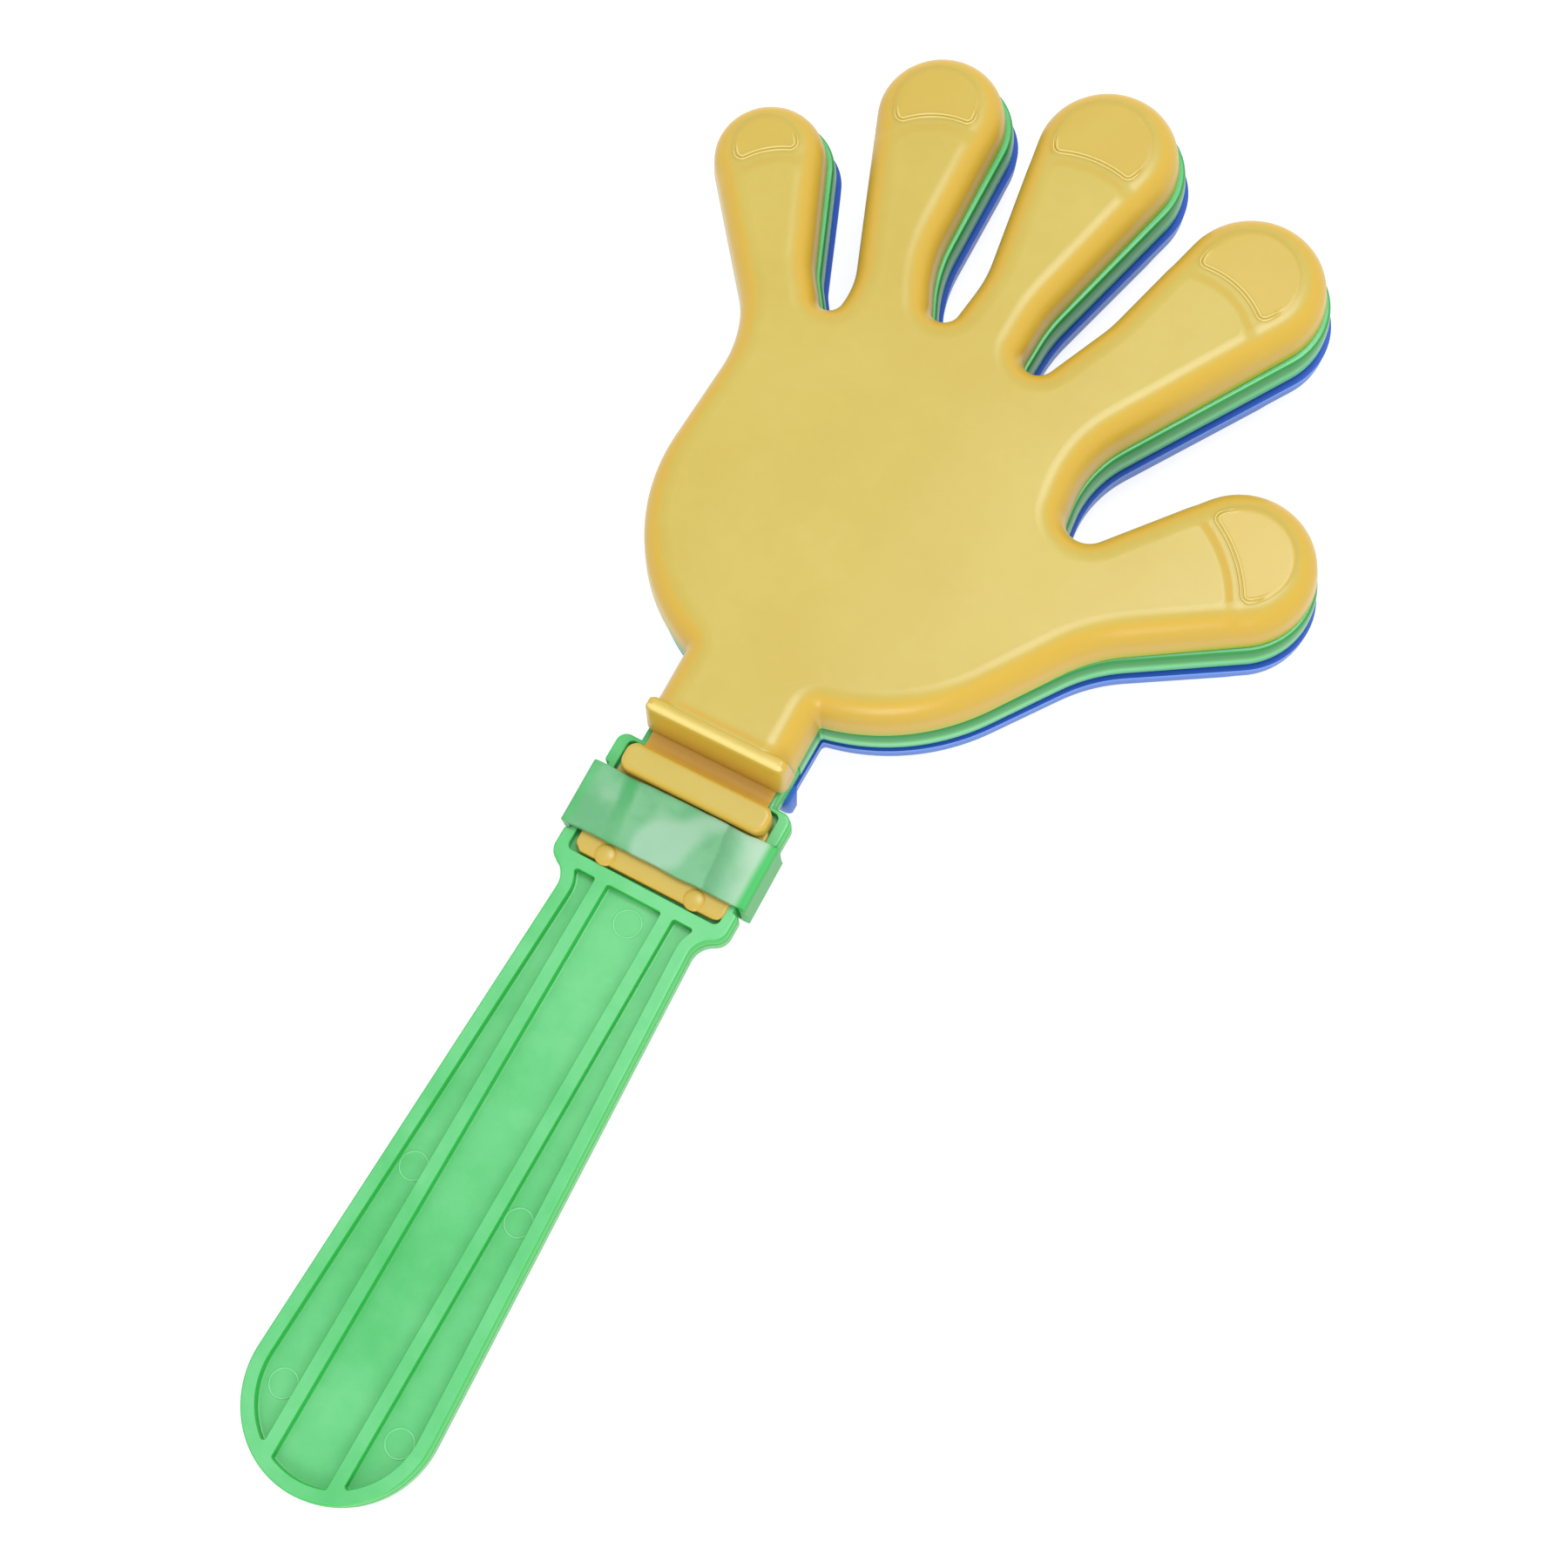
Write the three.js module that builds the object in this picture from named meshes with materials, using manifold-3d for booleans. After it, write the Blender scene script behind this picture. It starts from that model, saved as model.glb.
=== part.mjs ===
// Hand clapper: a flat handle whose head carries three hands in a stack.
// The middle hand is one with the handle. A front and a back hand hang on living hinges and clap against it.
//
// Millimetres. +X points to the thumb side, +Y to the fingertips, +Z out of the front hand's face.
// The origin is on the face of the back hand, below the middle of the palm: the clapper lies on that face.

import * as THREE from 'three';
import { mergeVertices } from 'three/addons/utils/BufferGeometryUtils.js';
import Module from 'manifold-3d';

const wasm = await Module();
wasm.setup();

// Smoothness: the furthest that a flat facet may lie from the curve that it stands for
const CHORD_ERROR = 0.12;
// How far a cutting tool runs past the face that it opens
const CUT_OVERRUN = 1;
// The gap that separate pieces keep where one rests on another
const SEAT_GAP = 0.3;

// Points closer than this are one point
const SAME_POINT = 1e-3;
// Facets across a rounded edge, and along a small curve
const EDGE_STEPS = 4;
const ARC_STEPS = 8;

// Stack of layers, counted outwards from the middle of the handle's slab
const HANDLE_THICKNESS = 5.4;
const MIDDLE_HAND_THICKNESS = 6.6;
const SHELL_DEPTH = 8;
const SHELL_WALL = 1.5;
const SHELL_FACE_THICKNESS = 1.6;
const SHELL_EDGE_RADIUS = 3.2;
const SHELL_DRAFT = 9.5;

// Middle hand: a flat plate with a raised rim on both sides
const RIM_WIDTH = 2.2;
const RIM_SIDE_CROWN = 0.6;
const RIM_STRAIGHT_SHARE = 0.75;
const CROWN_SHOULDER = 0.3;
const MIDDLE_PLATE_THICKNESS = 1.8;
const TRAY_DRAFT = 5;

// Neck, between the palm and the head
const NECK_HALF_WIDTH = 13.4;
const NECK_END_Y = -48;
const MIDDLE_HAND_END_Y = -44;
const TRAY_END_Y = -41;
const SLAB_NECK_STEP = 0.3;
const SLAB_TOP_Y = -36;

// Fingertips and heels: each is a round whose centre and radius set the hand's size and spread
const THUMB_TIP_X = 64.5;
const THUMB_TIP_Y = 20.5;
const THUMB_TIP_RADIUS = 13.4;
const FIRST_TIP_X = 43.5;
const FIRST_TIP_Y = 68.7;
const FIRST_TIP_RADIUS = 13.4;
const MIDDLE_TIP_X = 9;
const MIDDLE_TIP_Y = 81;
const MIDDLE_TIP_RADIUS = 13;
const RING_TIP_X = -21.7;
const RING_TIP_Y = 75.5;
const RING_TIP_RADIUS = 11.5;
const LITTLE_TIP_X = -46;
const LITTLE_TIP_Y = 54.7;
const LITTLE_TIP_RADIUS = 10.3;
const THUMB_HEEL_RADIUS = 40;
const LITTLE_HEEL_RADIUS = 34.2;

// Cross rib at the foot of a shell: it closes the shell and stops the hand's swing against the clamp bar
const CROSS_RIB_FRONT_Y = -50.5;
const CROSS_RIB_BACK_Y = -45.2;
const CROSS_RIB_HALF_LENGTH = 13.8;
const CROSS_RIB_TAPER = 0.9;
const CROSS_RIB_END_LEAN = 0.3;
const CROSS_RIB_PROUD = 0.5;
const CROSS_RIB_CORNER = 1.6;
const CROSS_RIB_EDGE_RADIUS = 1.2;

// Living hinge: the thin strip that bends
const HINGE_STRIP_LENGTH = 2.6;
const HINGE_STRIP_THICKNESS = 0.6;
const HINGE_STRIP_HALF_WIDTH = 12.1;
const HINGE_STRIP_NECKING = 0.2;

// Hinge foot: clamp bar, plate under the sleeve, and two locating pegs
const CLAMP_BAR_LENGTH = 5.2;
const CLAMP_BAR_HALF_WIDTH = 14.1;
const CLAMP_BAR_HEIGHT = 4.9;
const CLAMP_BAR_CORNER = 2;
const CLAMP_BAR_EDGE_RADIUS = 0.8;
const FOOT_PLATE_END_Y = -74.8;
const FOOT_PLATE_HALF_WIDTH = 14;
const FOOT_PLATE_THICKNESS = 1.7;
const FOOT_PLATE_CORNER = 1.8;
const FOOT_PLATE_EDGE_RADIUS = 0.3;
const PEG_RADIUS = 1.5;
const PEG_SPACING = 17.4;
const PEG_PROUD = 0.4;
const PEG_SIDES = [-1, 1];

// Head of the handle: ears above and below a waist that holds the sleeve
const HEAD_FLOOR_THICKNESS = 2;
const RECESS_CORNER = 1.2;
const EAR_HALF_WIDTH = 17.1;
const EAR_LIP = 0.7;
const EAR_EDGE_CORNER = 0.8;
const EAR_TOP_CORNER = 2;
const WAIST_WALL = 1.2;
const UPPER_EAR_LENGTH = 6.3;
const LOWER_EAR_CORNER = 3;
const LOWER_EAR_LENGTH = 6.4;
const HANDLE_BLEND = 4.2;
const HANDLE_NECK_HALF_WIDTH = 13;
const HANDLE_END_RADIUS = 16.85;
const HANDLE_END_Y = -189.2;
const HANDLE_EDGE_BEVEL = 0.3;

// Grip pockets: three shallow troughs on each side, parted by two ribs
const GRIP_RIM = 2.35;
const GRIP_POCKET_DEPTH = 1.9;
const GRIP_POCKET_TOP_Y = -77.5;
const GRIP_RIB_SPACING = 13;
const GRIP_RIB_WIDTH = 2.2;
const GRIP_RIB_FOOT_WIDTH = 2.6;

// Clasp sleeve, pushed over the head
const SLEEVE_LENGTH = 12;
const SLEEVE_FACE_WALL = 1.2;
const SLEEVE_SIDE_WALL = 1.5;
const SLEEVE_CORNER = 0.7;
const SLEEVE_SIDE_GAP = 0.4;
const SLEEVE_END_GAP = 0.5;

// How the loose pieces sit: turned a little in the plane of the hand, about the hinge
const SKEW_CENTRE_Y = -50;
const FRONT_SKEW = 0.76;
const BACK_SKEW = -0.37;
const FRONT_SHIFT_X = 0.25;
const SLEEVE_SKEW = 1;

const radians = THREE.MathUtils.degToRad;
const AXIS_X = new THREE.Vector3(1, 0, 0);
const AXIS_Y = new THREE.Vector3(0, 1, 0);
const AXIS_Z = new THREE.Vector3(0, 0, 1);

// Levels worked out from the stack
const slabTop = HANDLE_THICKNESS / 2;
const middleHandTop = MIDDLE_HAND_THICKNESS / 2;
const shellRim = middleHandTop + SEAT_GAP;
const shellFace = shellRim + SHELL_DEPTH;
const hingeStripBottom = slabTop + SEAT_GAP;
const hingeStripTop = hingeStripBottom + HINGE_STRIP_THICKNESS;
const headFloor = HEAD_FLOOR_THICKNESS / 2;
const footBottom = headFloor + SEAT_GAP;
const footPlateTop = footBottom + FOOT_PLATE_THICKNESS;
const sleeveInnerTop = footPlateTop + SEAT_GAP;
const sleeveTop = sleeveInnerTop + SLEEVE_FACE_WALL;

// How far the larger skew moves a point, for each millimetre from the skew's centre
const skewReach = Math.sin(radians(Math.max(Math.abs(FRONT_SKEW), Math.abs(BACK_SKEW))));

// Places worked out along the handle, from the fingertips down
const hingeStripStartY = CROSS_RIB_FRONT_Y - SEAT_GAP;
const hingeStripEndY = hingeStripStartY - HINGE_STRIP_LENGTH;
const clampBarFrontY = hingeStripEndY - SEAT_GAP;
const clampBarEndY = clampBarFrontY - CLAMP_BAR_LENGTH;
const pegY = FOOT_PLATE_END_Y + PEG_RADIUS;
const recessStartY = clampBarFrontY + SEAT_GAP + skewReach * CLAMP_BAR_HALF_WIDTH;
const recessEndY = FOOT_PLATE_END_Y - SEAT_GAP - skewReach * FOOT_PLATE_HALF_WIDTH;
const earTopY = recessStartY + EAR_LIP;
const waistStartY = earTopY - UPPER_EAR_LENGTH;
const sleeveStartY = waistStartY - SLEEVE_END_GAP;
const waistEndY = sleeveStartY - SLEEVE_LENGTH - SLEEVE_END_GAP;
const lowerEarEndY = waistEndY - LOWER_EAR_LENGTH;

// Widths of the head, from the foot that it holds outwards
const footSwing = Math.abs(FRONT_SHIFT_X) + skewReach * (SKEW_CENTRE_Y - FOOT_PLATE_END_Y);
const recessHalfWidth = Math.max(CLAMP_BAR_HALF_WIDTH, FOOT_PLATE_HALF_WIDTH) + footSwing + SEAT_GAP;
const waistHalfWidth = recessHalfWidth + WAIST_WALL;
const sleeveInnerHalfWidth = waistHalfWidth + SLEEVE_SIDE_GAP;
const sleeveHalfWidth = sleeveInnerHalfWidth + SLEEVE_SIDE_WALL;

// An outline is a belt: arcs in anticlockwise order, joined by the straight lines that touch both.
// A bulge has its centre inside the outline, a hollow has it outside, and a corner has no radius.
const bulge = (x, y, radius) => ({ x, y, radius });
const hollow = (x, y, radius) => ({ x, y, radius: -radius });
const corner = (x, y) => ({ x, y, radius: 0 });

// The middle and the outer hands share this outline at their rims.
function handOutline(neckEndY) {
  const thumbHeel = bulge(5.5, 2.5, THUMB_HEEL_RADIUS);
  const littleHeel = bulge(-0.7, -3.8, LITTLE_HEEL_RADIUS);
  return [
    corner(NECK_HALF_WIDTH, neckEndY),
    neckCorner(thumbHeel, 1),
    thumbHeel,
    hollow(69.5, -26.5, 29),
    bulge(THUMB_TIP_X, THUMB_TIP_Y, THUMB_TIP_RADIUS),
    hollow(38, 16.5, 4),
    hollow(54, 21.5, 20.5),
    bulge(FIRST_TIP_X, FIRST_TIP_Y, FIRST_TIP_RADIUS),
    hollow(0.5, 59.5, 26),
    hollow(17.2, 40, 2.8),
    hollow(37, 44.7, 23),
    bulge(MIDDLE_TIP_X, MIDDLE_TIP_Y, MIDDLE_TIP_RADIUS),
    hollow(-7.8, 48.5, 8),
    hollow(-3, 42, 2.5),
    bulge(-20.7, 45.8, 13.4),
    bulge(RING_TIP_X, RING_TIP_Y, RING_TIP_RADIUS),
    hollow(-42, 33.5, 22.5),
    hollow(-21.5, 34, 2),
    hollow(22, 57, 52),
    bulge(LITTLE_TIP_X, LITTLE_TIP_Y, LITTLE_TIP_RADIUS),
    hollow(-56, 15, 22.2),
    littleHeel,
    neckCorner(littleHeel, -1),
    corner(-NECK_HALF_WIDTH, neckEndY),
  ];
}

// The crease where the side of the neck meets the heel of the hand
function neckCorner(heel, side) {
  const x = side * NECK_HALF_WIDTH;
  return corner(x, heel.y - Math.sqrt(heel.radius ** 2 - (x - heel.x) ** 2));
}

// The slab: the neck, the head with its ears and waist, and the tapering grip with its round end
function handleOutline() {
  const right = handleSide();
  const left = right.map((arc) => ({ ...arc, x: -arc.x })).reverse();
  const end = bulge(0, HANDLE_END_Y + HANDLE_END_RADIUS, HANDLE_END_RADIUS);
  return [...left, end, ...right];
}

// The slab's right side, from the grip up to the neck
function handleSide() {
  const lobe = bulge(EAR_HALF_WIDTH - LOWER_EAR_CORNER, lowerEarEndY + LOWER_EAR_CORNER, LOWER_EAR_CORNER);
  const blendX = HANDLE_NECK_HALF_WIDTH + HANDLE_BLEND;
  const blendReach = HANDLE_BLEND + LOWER_EAR_CORNER;
  const blendY = lobe.y - Math.sqrt(blendReach ** 2 - (blendX - lobe.x) ** 2);
  const neckX = NECK_HALF_WIDTH - SLAB_NECK_STEP;
  return [
    hollow(blendX, blendY, HANDLE_BLEND),
    lobe,
    bulge(EAR_HALF_WIDTH - EAR_EDGE_CORNER, waistEndY - EAR_EDGE_CORNER, EAR_EDGE_CORNER),
    corner(waistHalfWidth, waistEndY),
    corner(waistHalfWidth, waistStartY),
    bulge(EAR_HALF_WIDTH - EAR_EDGE_CORNER, waistStartY + EAR_EDGE_CORNER, EAR_EDGE_CORNER),
    bulge(EAR_HALF_WIDTH - EAR_TOP_CORNER, earTopY - EAR_TOP_CORNER, EAR_TOP_CORNER),
    corner(neckX, earTopY),
    corner(neckX, SLAB_TOP_Y),
  ];
}

function roundedRectangle(halfWidth, startY, endY, radius) {
  const x = halfWidth - radius;
  return [
    bulge(x, endY + radius, radius),
    bulge(x, startY - radius, radius),
    bulge(-x, startY - radius, radius),
    bulge(-x, endY + radius, radius),
  ];
}

// A hollow can't be rounder than its neighbours leave room for.
function fitHollows(arcs, closed) {
  return arcs.map((arc, i) => {
    if (arc.radius >= 0) return arc;
    const beside = closed ? [arcs.at(i - 1), arcs[(i + 1) % arcs.length]] : [arcs[i - 1], arcs[i + 1]];
    const room = beside.map((other) => Math.hypot(other.x - arc.x, other.y - arc.y) - other.radius);
    return { ...arc, radius: -Math.min(-arc.radius, ...room) };
  });
}

// Between two arcs in the belt: the heading of the line that touches both, and that line's length
function tangent(from, to) {
  const dx = to.x - from.x;
  const dy = to.y - from.y;
  const distance = Math.hypot(dx, dy);
  const lean = THREE.MathUtils.clamp((to.radius - from.radius) / distance, -1, 1);
  return { heading: Math.atan2(dy, dx) - Math.asin(lean), length: distance * Math.sqrt(1 - lean ** 2) };
}

// The belt's points, drawn in by inset. Every inset gives the same number of points, in step with each other.
function beltPoints(outline, inset = 0, { closed = false, widestInset = inset } = {}) {
  const arcs = fitHollows(outline, closed);
  const last = arcs.length - 1;
  const points = [];
  arcs.forEach((arc, i) => {
    const arriving = closed || i > 0 ? tangent(arcs.at(i - 1), arc) : null;
    const leaving = closed || i < last ? tangent(arc, arcs[(i + 1) % arcs.length]) : null;
    const start = (arriving ?? leaving).heading;
    const end = (leaving ?? arriving).heading;
    if (arc.radius === 0) {
      points.push(mitrePoint(arc, start, end, inset));
      return;
    }
    const turn = wrapTurn(end - start, Math.sign(arc.radius));
    const steps = arcSteps(arc.radius, turn, widestInset);
    const joined = arriving !== null && arriving.length < SAME_POINT;
    for (let k = joined ? 1 : 0; k <= steps; k += 1) {
      const heading = start + (turn * k) / Math.max(steps, 1);
      const reach = arc.radius - inset;
      points.push(new THREE.Vector2(arc.x + reach * Math.sin(heading), arc.y - reach * Math.cos(heading)));
    }
  });
  return points;
}

// Where the two lines beside a corner meet when both are drawn in
function mitrePoint(arc, start, end, inset) {
  const x = -Math.sin(start) - Math.sin(end);
  const y = Math.cos(start) + Math.cos(end);
  const reach = inset / (1 + Math.cos(end - start));
  return new THREE.Vector2(arc.x + reach * x, arc.y + reach * y);
}

// A bulge turns left and a hollow turns right, with a little room the other way.
function wrapTurn(angle, side) {
  const room = Math.PI / 2;
  return side * (THREE.MathUtils.euclideanModulo(side * angle + room, 2 * Math.PI) - room);
}

function arcSteps(radius, turn, widestInset) {
  if (Math.abs(turn) < SAME_POINT) return 0;
  const widest = Math.max(Math.abs(radius), Math.abs(radius - widestInset), CHORD_ERROR);
  const step = 2 * Math.acos(1 - CHORD_ERROR / widest);
  return Math.ceil(Math.abs(turn) / step);
}

// Skins a closed body over sections, each a ring of points at its own height, from the bottom up.
function loft(sections) {
  const ring = sections[0].points.length;
  const positions = sections.flatMap(({ points, z }) => points.flatMap((point) => [point.x, point.y, z]));
  const indices = [];
  for (let level = 0; level < sections.length - 1; level += 1) {
    for (let k = 0; k < ring; k += 1) {
      const a = level * ring + k;
      const b = level * ring + ((k + 1) % ring);
      indices.push(a, b, b + ring, a, b + ring, a + ring);
    }
  }
  const top = (sections.length - 1) * ring;
  THREE.ShapeUtils.triangulateShape(sections[0].points, []).forEach(([a, b, c]) => indices.push(a, c, b));
  THREE.ShapeUtils.triangulateShape(sections.at(-1).points, [])
    .forEach(([a, b, c]) => indices.push(top + a, top + b, top + c));
  const geometry = new THREE.BufferGeometry();
  geometry.setAttribute('position', new THREE.Float32BufferAttribute(positions, 3));
  geometry.setIndex(indices);
  return geometry;
}

// Lofts an outline through levels of { inset, z }.
function loftOutline(outline, levels, closed = false) {
  const widestInset = Math.max(...levels.map((level) => level.inset));
  const section = ({ inset, z }) => ({ z, points: beltPoints(outline, inset, { closed, widestInset }) });
  return loft(levels.map(section));
}

// The side of a moulded block, from its foot up: a wall that leans in by its draft, then a rounded top edge
function mouldedSide({ foot, top, draft, edgeRadius, inset = 0, steps = EDGE_STEPS }) {
  const lean = radians(draft);
  const centreZ = top - edgeRadius;
  const centreInset = (edgeRadius + (centreZ - foot) * Math.sin(lean)) / Math.cos(lean);
  const levels = [{ inset, z: foot }];
  for (let k = 0; k <= steps; k += 1) {
    const angle = THREE.MathUtils.lerp(lean, Math.PI / 2, k / steps);
    levels.push({
      inset: inset + centreInset - edgeRadius * Math.cos(angle),
      z: centreZ + edgeRadius * Math.sin(angle),
    });
  }
  return levels;
}

// A closed three.js geometry as a solid that can be cut and joined
function solid(geometry) {
  geometry.deleteAttribute('normal');
  geometry.deleteAttribute('uv');
  const merged = mergeVertices(geometry);
  return new wasm.Manifold(new wasm.Mesh({
    numProp: 3,
    vertProperties: new Float32Array(merged.attributes.position.array),
    triVerts: new Uint32Array(merged.index.array),
  }));
}

function moulded(outline, levels, closed = false) {
  return solid(loftOutline(outline, levels, closed));
}

// A box between two corners
function block(low, high) {
  const size = high.map((value, i) => value - low[i]);
  const middle = high.map((value, i) => (value + low[i]) / 2);
  return solid(new THREE.BoxGeometry(...size).translate(...middle));
}

function uprightCylinder(radius, x, y, bottom, top) {
  const turns = Math.ceil(Math.PI / Math.acos(1 - CHORD_ERROR / radius)) * 2;
  const cylinder = new THREE.CylinderGeometry(radius, radius, top - bottom, turns).rotateX(Math.PI / 2);
  return solid(cylinder.translate(x, y, (top + bottom) / 2));
}

// A section drawn in x and z, run along -Y from startY
function prismAlongY(points, startY, length) {
  const geometry = new THREE.ExtrudeGeometry(new THREE.Shape(points), { depth: length, bevelEnabled: false });
  const basis = new THREE.Matrix4().makeBasis(AXIS_X, AXIS_Z, AXIS_Y.clone().negate());
  return solid(geometry.applyMatrix4(basis).translate(0, startY, 0));
}

// A section drawn in y and z, centred on x = 0
function prismAlongX(shape, length) {
  const run = { depth: length, bevelEnabled: false, curveSegments: ARC_STEPS };
  const geometry = new THREE.ExtrudeGeometry(shape, run);
  const basis = new THREE.Matrix4().makeBasis(AXIS_Y, AXIS_Z, AXIS_X);
  return solid(geometry.applyMatrix4(basis).translate(-length / 2, 0, 0));
}

// The same body on the other side of the mid-plane
function mirrored(geometry) {
  const copy = geometry.clone();
  const position = copy.attributes.position;
  for (let i = 0; i < position.count; i += 1) position.setZ(i, -position.getZ(i));
  const index = copy.index.array;
  for (let i = 0; i < index.length; i += 3) [index[i + 1], index[i + 2]] = [index[i + 2], index[i + 1]];
  return copy;
}

function toGeometry(body) {
  const { vertProperties, triVerts } = body.getMesh();
  const geometry = new THREE.BufferGeometry();
  geometry.setAttribute('position', new THREE.Float32BufferAttribute(vertProperties, 3));
  geometry.setIndex([...triVerts]);
  geometry.computeVertexNormals();
  return geometry;
}

// Middle hand and handle, one moulding

// The plate of the middle hand, whose sides swell a little towards the mould's parting line
function middleHandCore() {
  const straight = middleHandTop * RIM_STRAIGHT_SHARE;
  return moulded(handOutline(MIDDLE_HAND_END_Y), [
    { inset: RIM_SIDE_CROWN, z: -middleHandTop },
    { inset: RIM_SIDE_CROWN * CROWN_SHOULDER, z: -straight },
    { inset: 0, z: 0 },
    { inset: RIM_SIDE_CROWN * CROWN_SHOULDER, z: straight },
    { inset: RIM_SIDE_CROWN, z: middleHandTop },
  ]);
}

// The tray inside the rim, on the front
function trayCutter() {
  const floor = MIDDLE_PLATE_THICKNESS / 2;
  const top = middleHandTop + CUT_OVERRUN;
  const lean = Math.tan(radians(TRAY_DRAFT));
  return moulded(handOutline(TRAY_END_Y), [
    { inset: RIM_WIDTH + (middleHandTop - floor) * lean, z: floor },
    { inset: RIM_WIDTH - CUT_OVERRUN * lean, z: top },
  ]);
}

function slab() {
  const straight = slabTop - HANDLE_EDGE_BEVEL;
  return moulded(handleOutline(), [
    { inset: HANDLE_EDGE_BEVEL, z: -slabTop },
    { inset: 0, z: -straight },
    { inset: 0, z: straight },
    { inset: HANDLE_EDGE_BEVEL, z: slabTop },
  ]);
}

// The three troughs of the grip, on the front: the room inside the rim, less the two ribs
function gripPocketCutter() {
  const floor = slabTop - GRIP_POCKET_DEPTH;
  const top = slabTop + CUT_OVERRUN;
  const lean = (GRIP_RIB_FOOT_WIDTH - GRIP_RIB_WIDTH) / 2 / GRIP_POCKET_DEPTH;
  const [blend, lobe] = handleSide();
  const flip = (arc) => ({ ...arc, x: -arc.x });
  const end = bulge(0, HANDLE_END_Y + HANDLE_END_RADIUS, HANDLE_END_RADIUS);
  const room = moulded([flip(lobe), flip(blend), end, blend, lobe], [
    { inset: GRIP_RIM + GRIP_POCKET_DEPTH * lean, z: floor },
    { inset: GRIP_RIM - CUT_OVERRUN * lean, z: top },
  ]);
  const above = block(
    [-EAR_HALF_WIDTH, GRIP_POCKET_TOP_Y, floor - CUT_OVERRUN],
    [EAR_HALF_WIDTH, SKEW_CENTRE_Y, top + CUT_OVERRUN],
  );
  return [-1, 1].reduce((cut, side) => cut.subtract(gripRib(side, floor)), room.subtract(above));
}

function gripRib(side, floor) {
  const x = (side * GRIP_RIB_SPACING) / 2;
  const lean = (GRIP_RIB_FOOT_WIDTH - GRIP_RIB_WIDTH) / 2 / GRIP_POCKET_DEPTH;
  const foot = GRIP_RIB_FOOT_WIDTH / 2 + CUT_OVERRUN * lean;
  const crest = GRIP_RIB_WIDTH / 2 - 2 * CUT_OVERRUN * lean;
  const section = [
    new THREE.Vector2(x - foot, floor - CUT_OVERRUN),
    new THREE.Vector2(x + foot, floor - CUT_OVERRUN),
    new THREE.Vector2(x + crest, slabTop + 2 * CUT_OVERRUN),
    new THREE.Vector2(x - crest, slabTop + 2 * CUT_OVERRUN),
  ];
  const startY = GRIP_POCKET_TOP_Y + CUT_OVERRUN;
  return prismAlongY(section, startY, startY - HANDLE_END_Y);
}

// The recess that a hinge foot lies in, on the front
function footRecessCutter() {
  return moulded(roundedRectangle(recessHalfWidth, recessStartY, recessEndY, RECESS_CORNER), [
    { inset: 0, z: headFloor },
    { inset: 0, z: slabTop + CUT_OVERRUN },
  ], true);
}

// Holes for the pegs of one hinge foot, where that foot's skew puts them
function pegHoleCutters(placement) {
  return PEG_SIDES.map((side) => {
    const centre = new THREE.Vector3((side * PEG_SPACING) / 2, pegY, 0).applyMatrix4(placement);
    return uprightCylinder(PEG_RADIUS + SEAT_GAP, centre.x, centre.y, -slabTop, slabTop);
  });
}

function handleBody() {
  const oneSide = [trayCutter(), gripPocketCutter(), footRecessCutter()];
  const otherSide = oneSide.map((cutter) => solid(mirrored(toGeometry(cutter))));
  const holes = [...pegHoleCutters(frontPlacement), ...pegHoleCutters(backPlacement)];
  const uncut = middleHandCore().add(slab());
  return [...oneSide, ...otherSide, ...holes].reduce((body, cutter) => body.subtract(cutter), uncut);
}

// Front hand moulding; the back one is its mirror image

function palmShellBody() {
  const skin = moulded(handOutline(NECK_END_Y), mouldedSide({
    foot: shellRim,
    top: shellFace,
    draft: SHELL_DRAFT,
    edgeRadius: SHELL_EDGE_RADIUS,
  }));
  const lean = Math.tan(radians(SHELL_DRAFT));
  const hollowLevels = mouldedSide({
    foot: shellRim,
    top: shellFace - SHELL_FACE_THICKNESS,
    draft: SHELL_DRAFT,
    edgeRadius: SHELL_EDGE_RADIUS - SHELL_WALL,
    inset: SHELL_WALL,
    steps: EDGE_STEPS - 1,
  });
  hollowLevels[0] = { inset: SHELL_WALL - CUT_OVERRUN * lean, z: shellRim - CUT_OVERRUN };
  const hollowInside = moulded(handOutline(CROSS_RIB_BACK_Y), hollowLevels);
  return skin.subtract(hollowInside).add(crossRib());
}

// The rib leans back from the hinge as it rises, and ends in a rounded crest.
function crossRib() {
  const crest = shellFace + CROSS_RIB_PROUD;
  const shoulder = crest - CROSS_RIB_EDGE_RADIUS;
  const rise = (z) => (CROSS_RIB_TAPER * (z - hingeStripBottom)) / (crest - hingeStripBottom);
  const section = (z, drawnIn) => ({
    z,
    points: beltPoints(roundedRectangle(
      CROSS_RIB_HALF_LENGTH - CROSS_RIB_END_LEAN * rise(z),
      CROSS_RIB_BACK_Y - rise(z),
      CROSS_RIB_FRONT_Y + rise(z),
      CROSS_RIB_CORNER,
    ), drawnIn, { closed: true, widestInset: CROSS_RIB_EDGE_RADIUS }),
  });
  const sections = [section(hingeStripBottom, 0)];
  for (let k = 0; k <= EDGE_STEPS; k += 1) {
    const angle = (Math.PI / 2) * (k / EDGE_STEPS);
    const drawnIn = CROSS_RIB_EDGE_RADIUS * (1 - Math.cos(angle));
    sections.push(section(shoulder + CROSS_RIB_EDGE_RADIUS * Math.sin(angle), drawnIn));
  }
  return solid(loft(sections));
}

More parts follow.
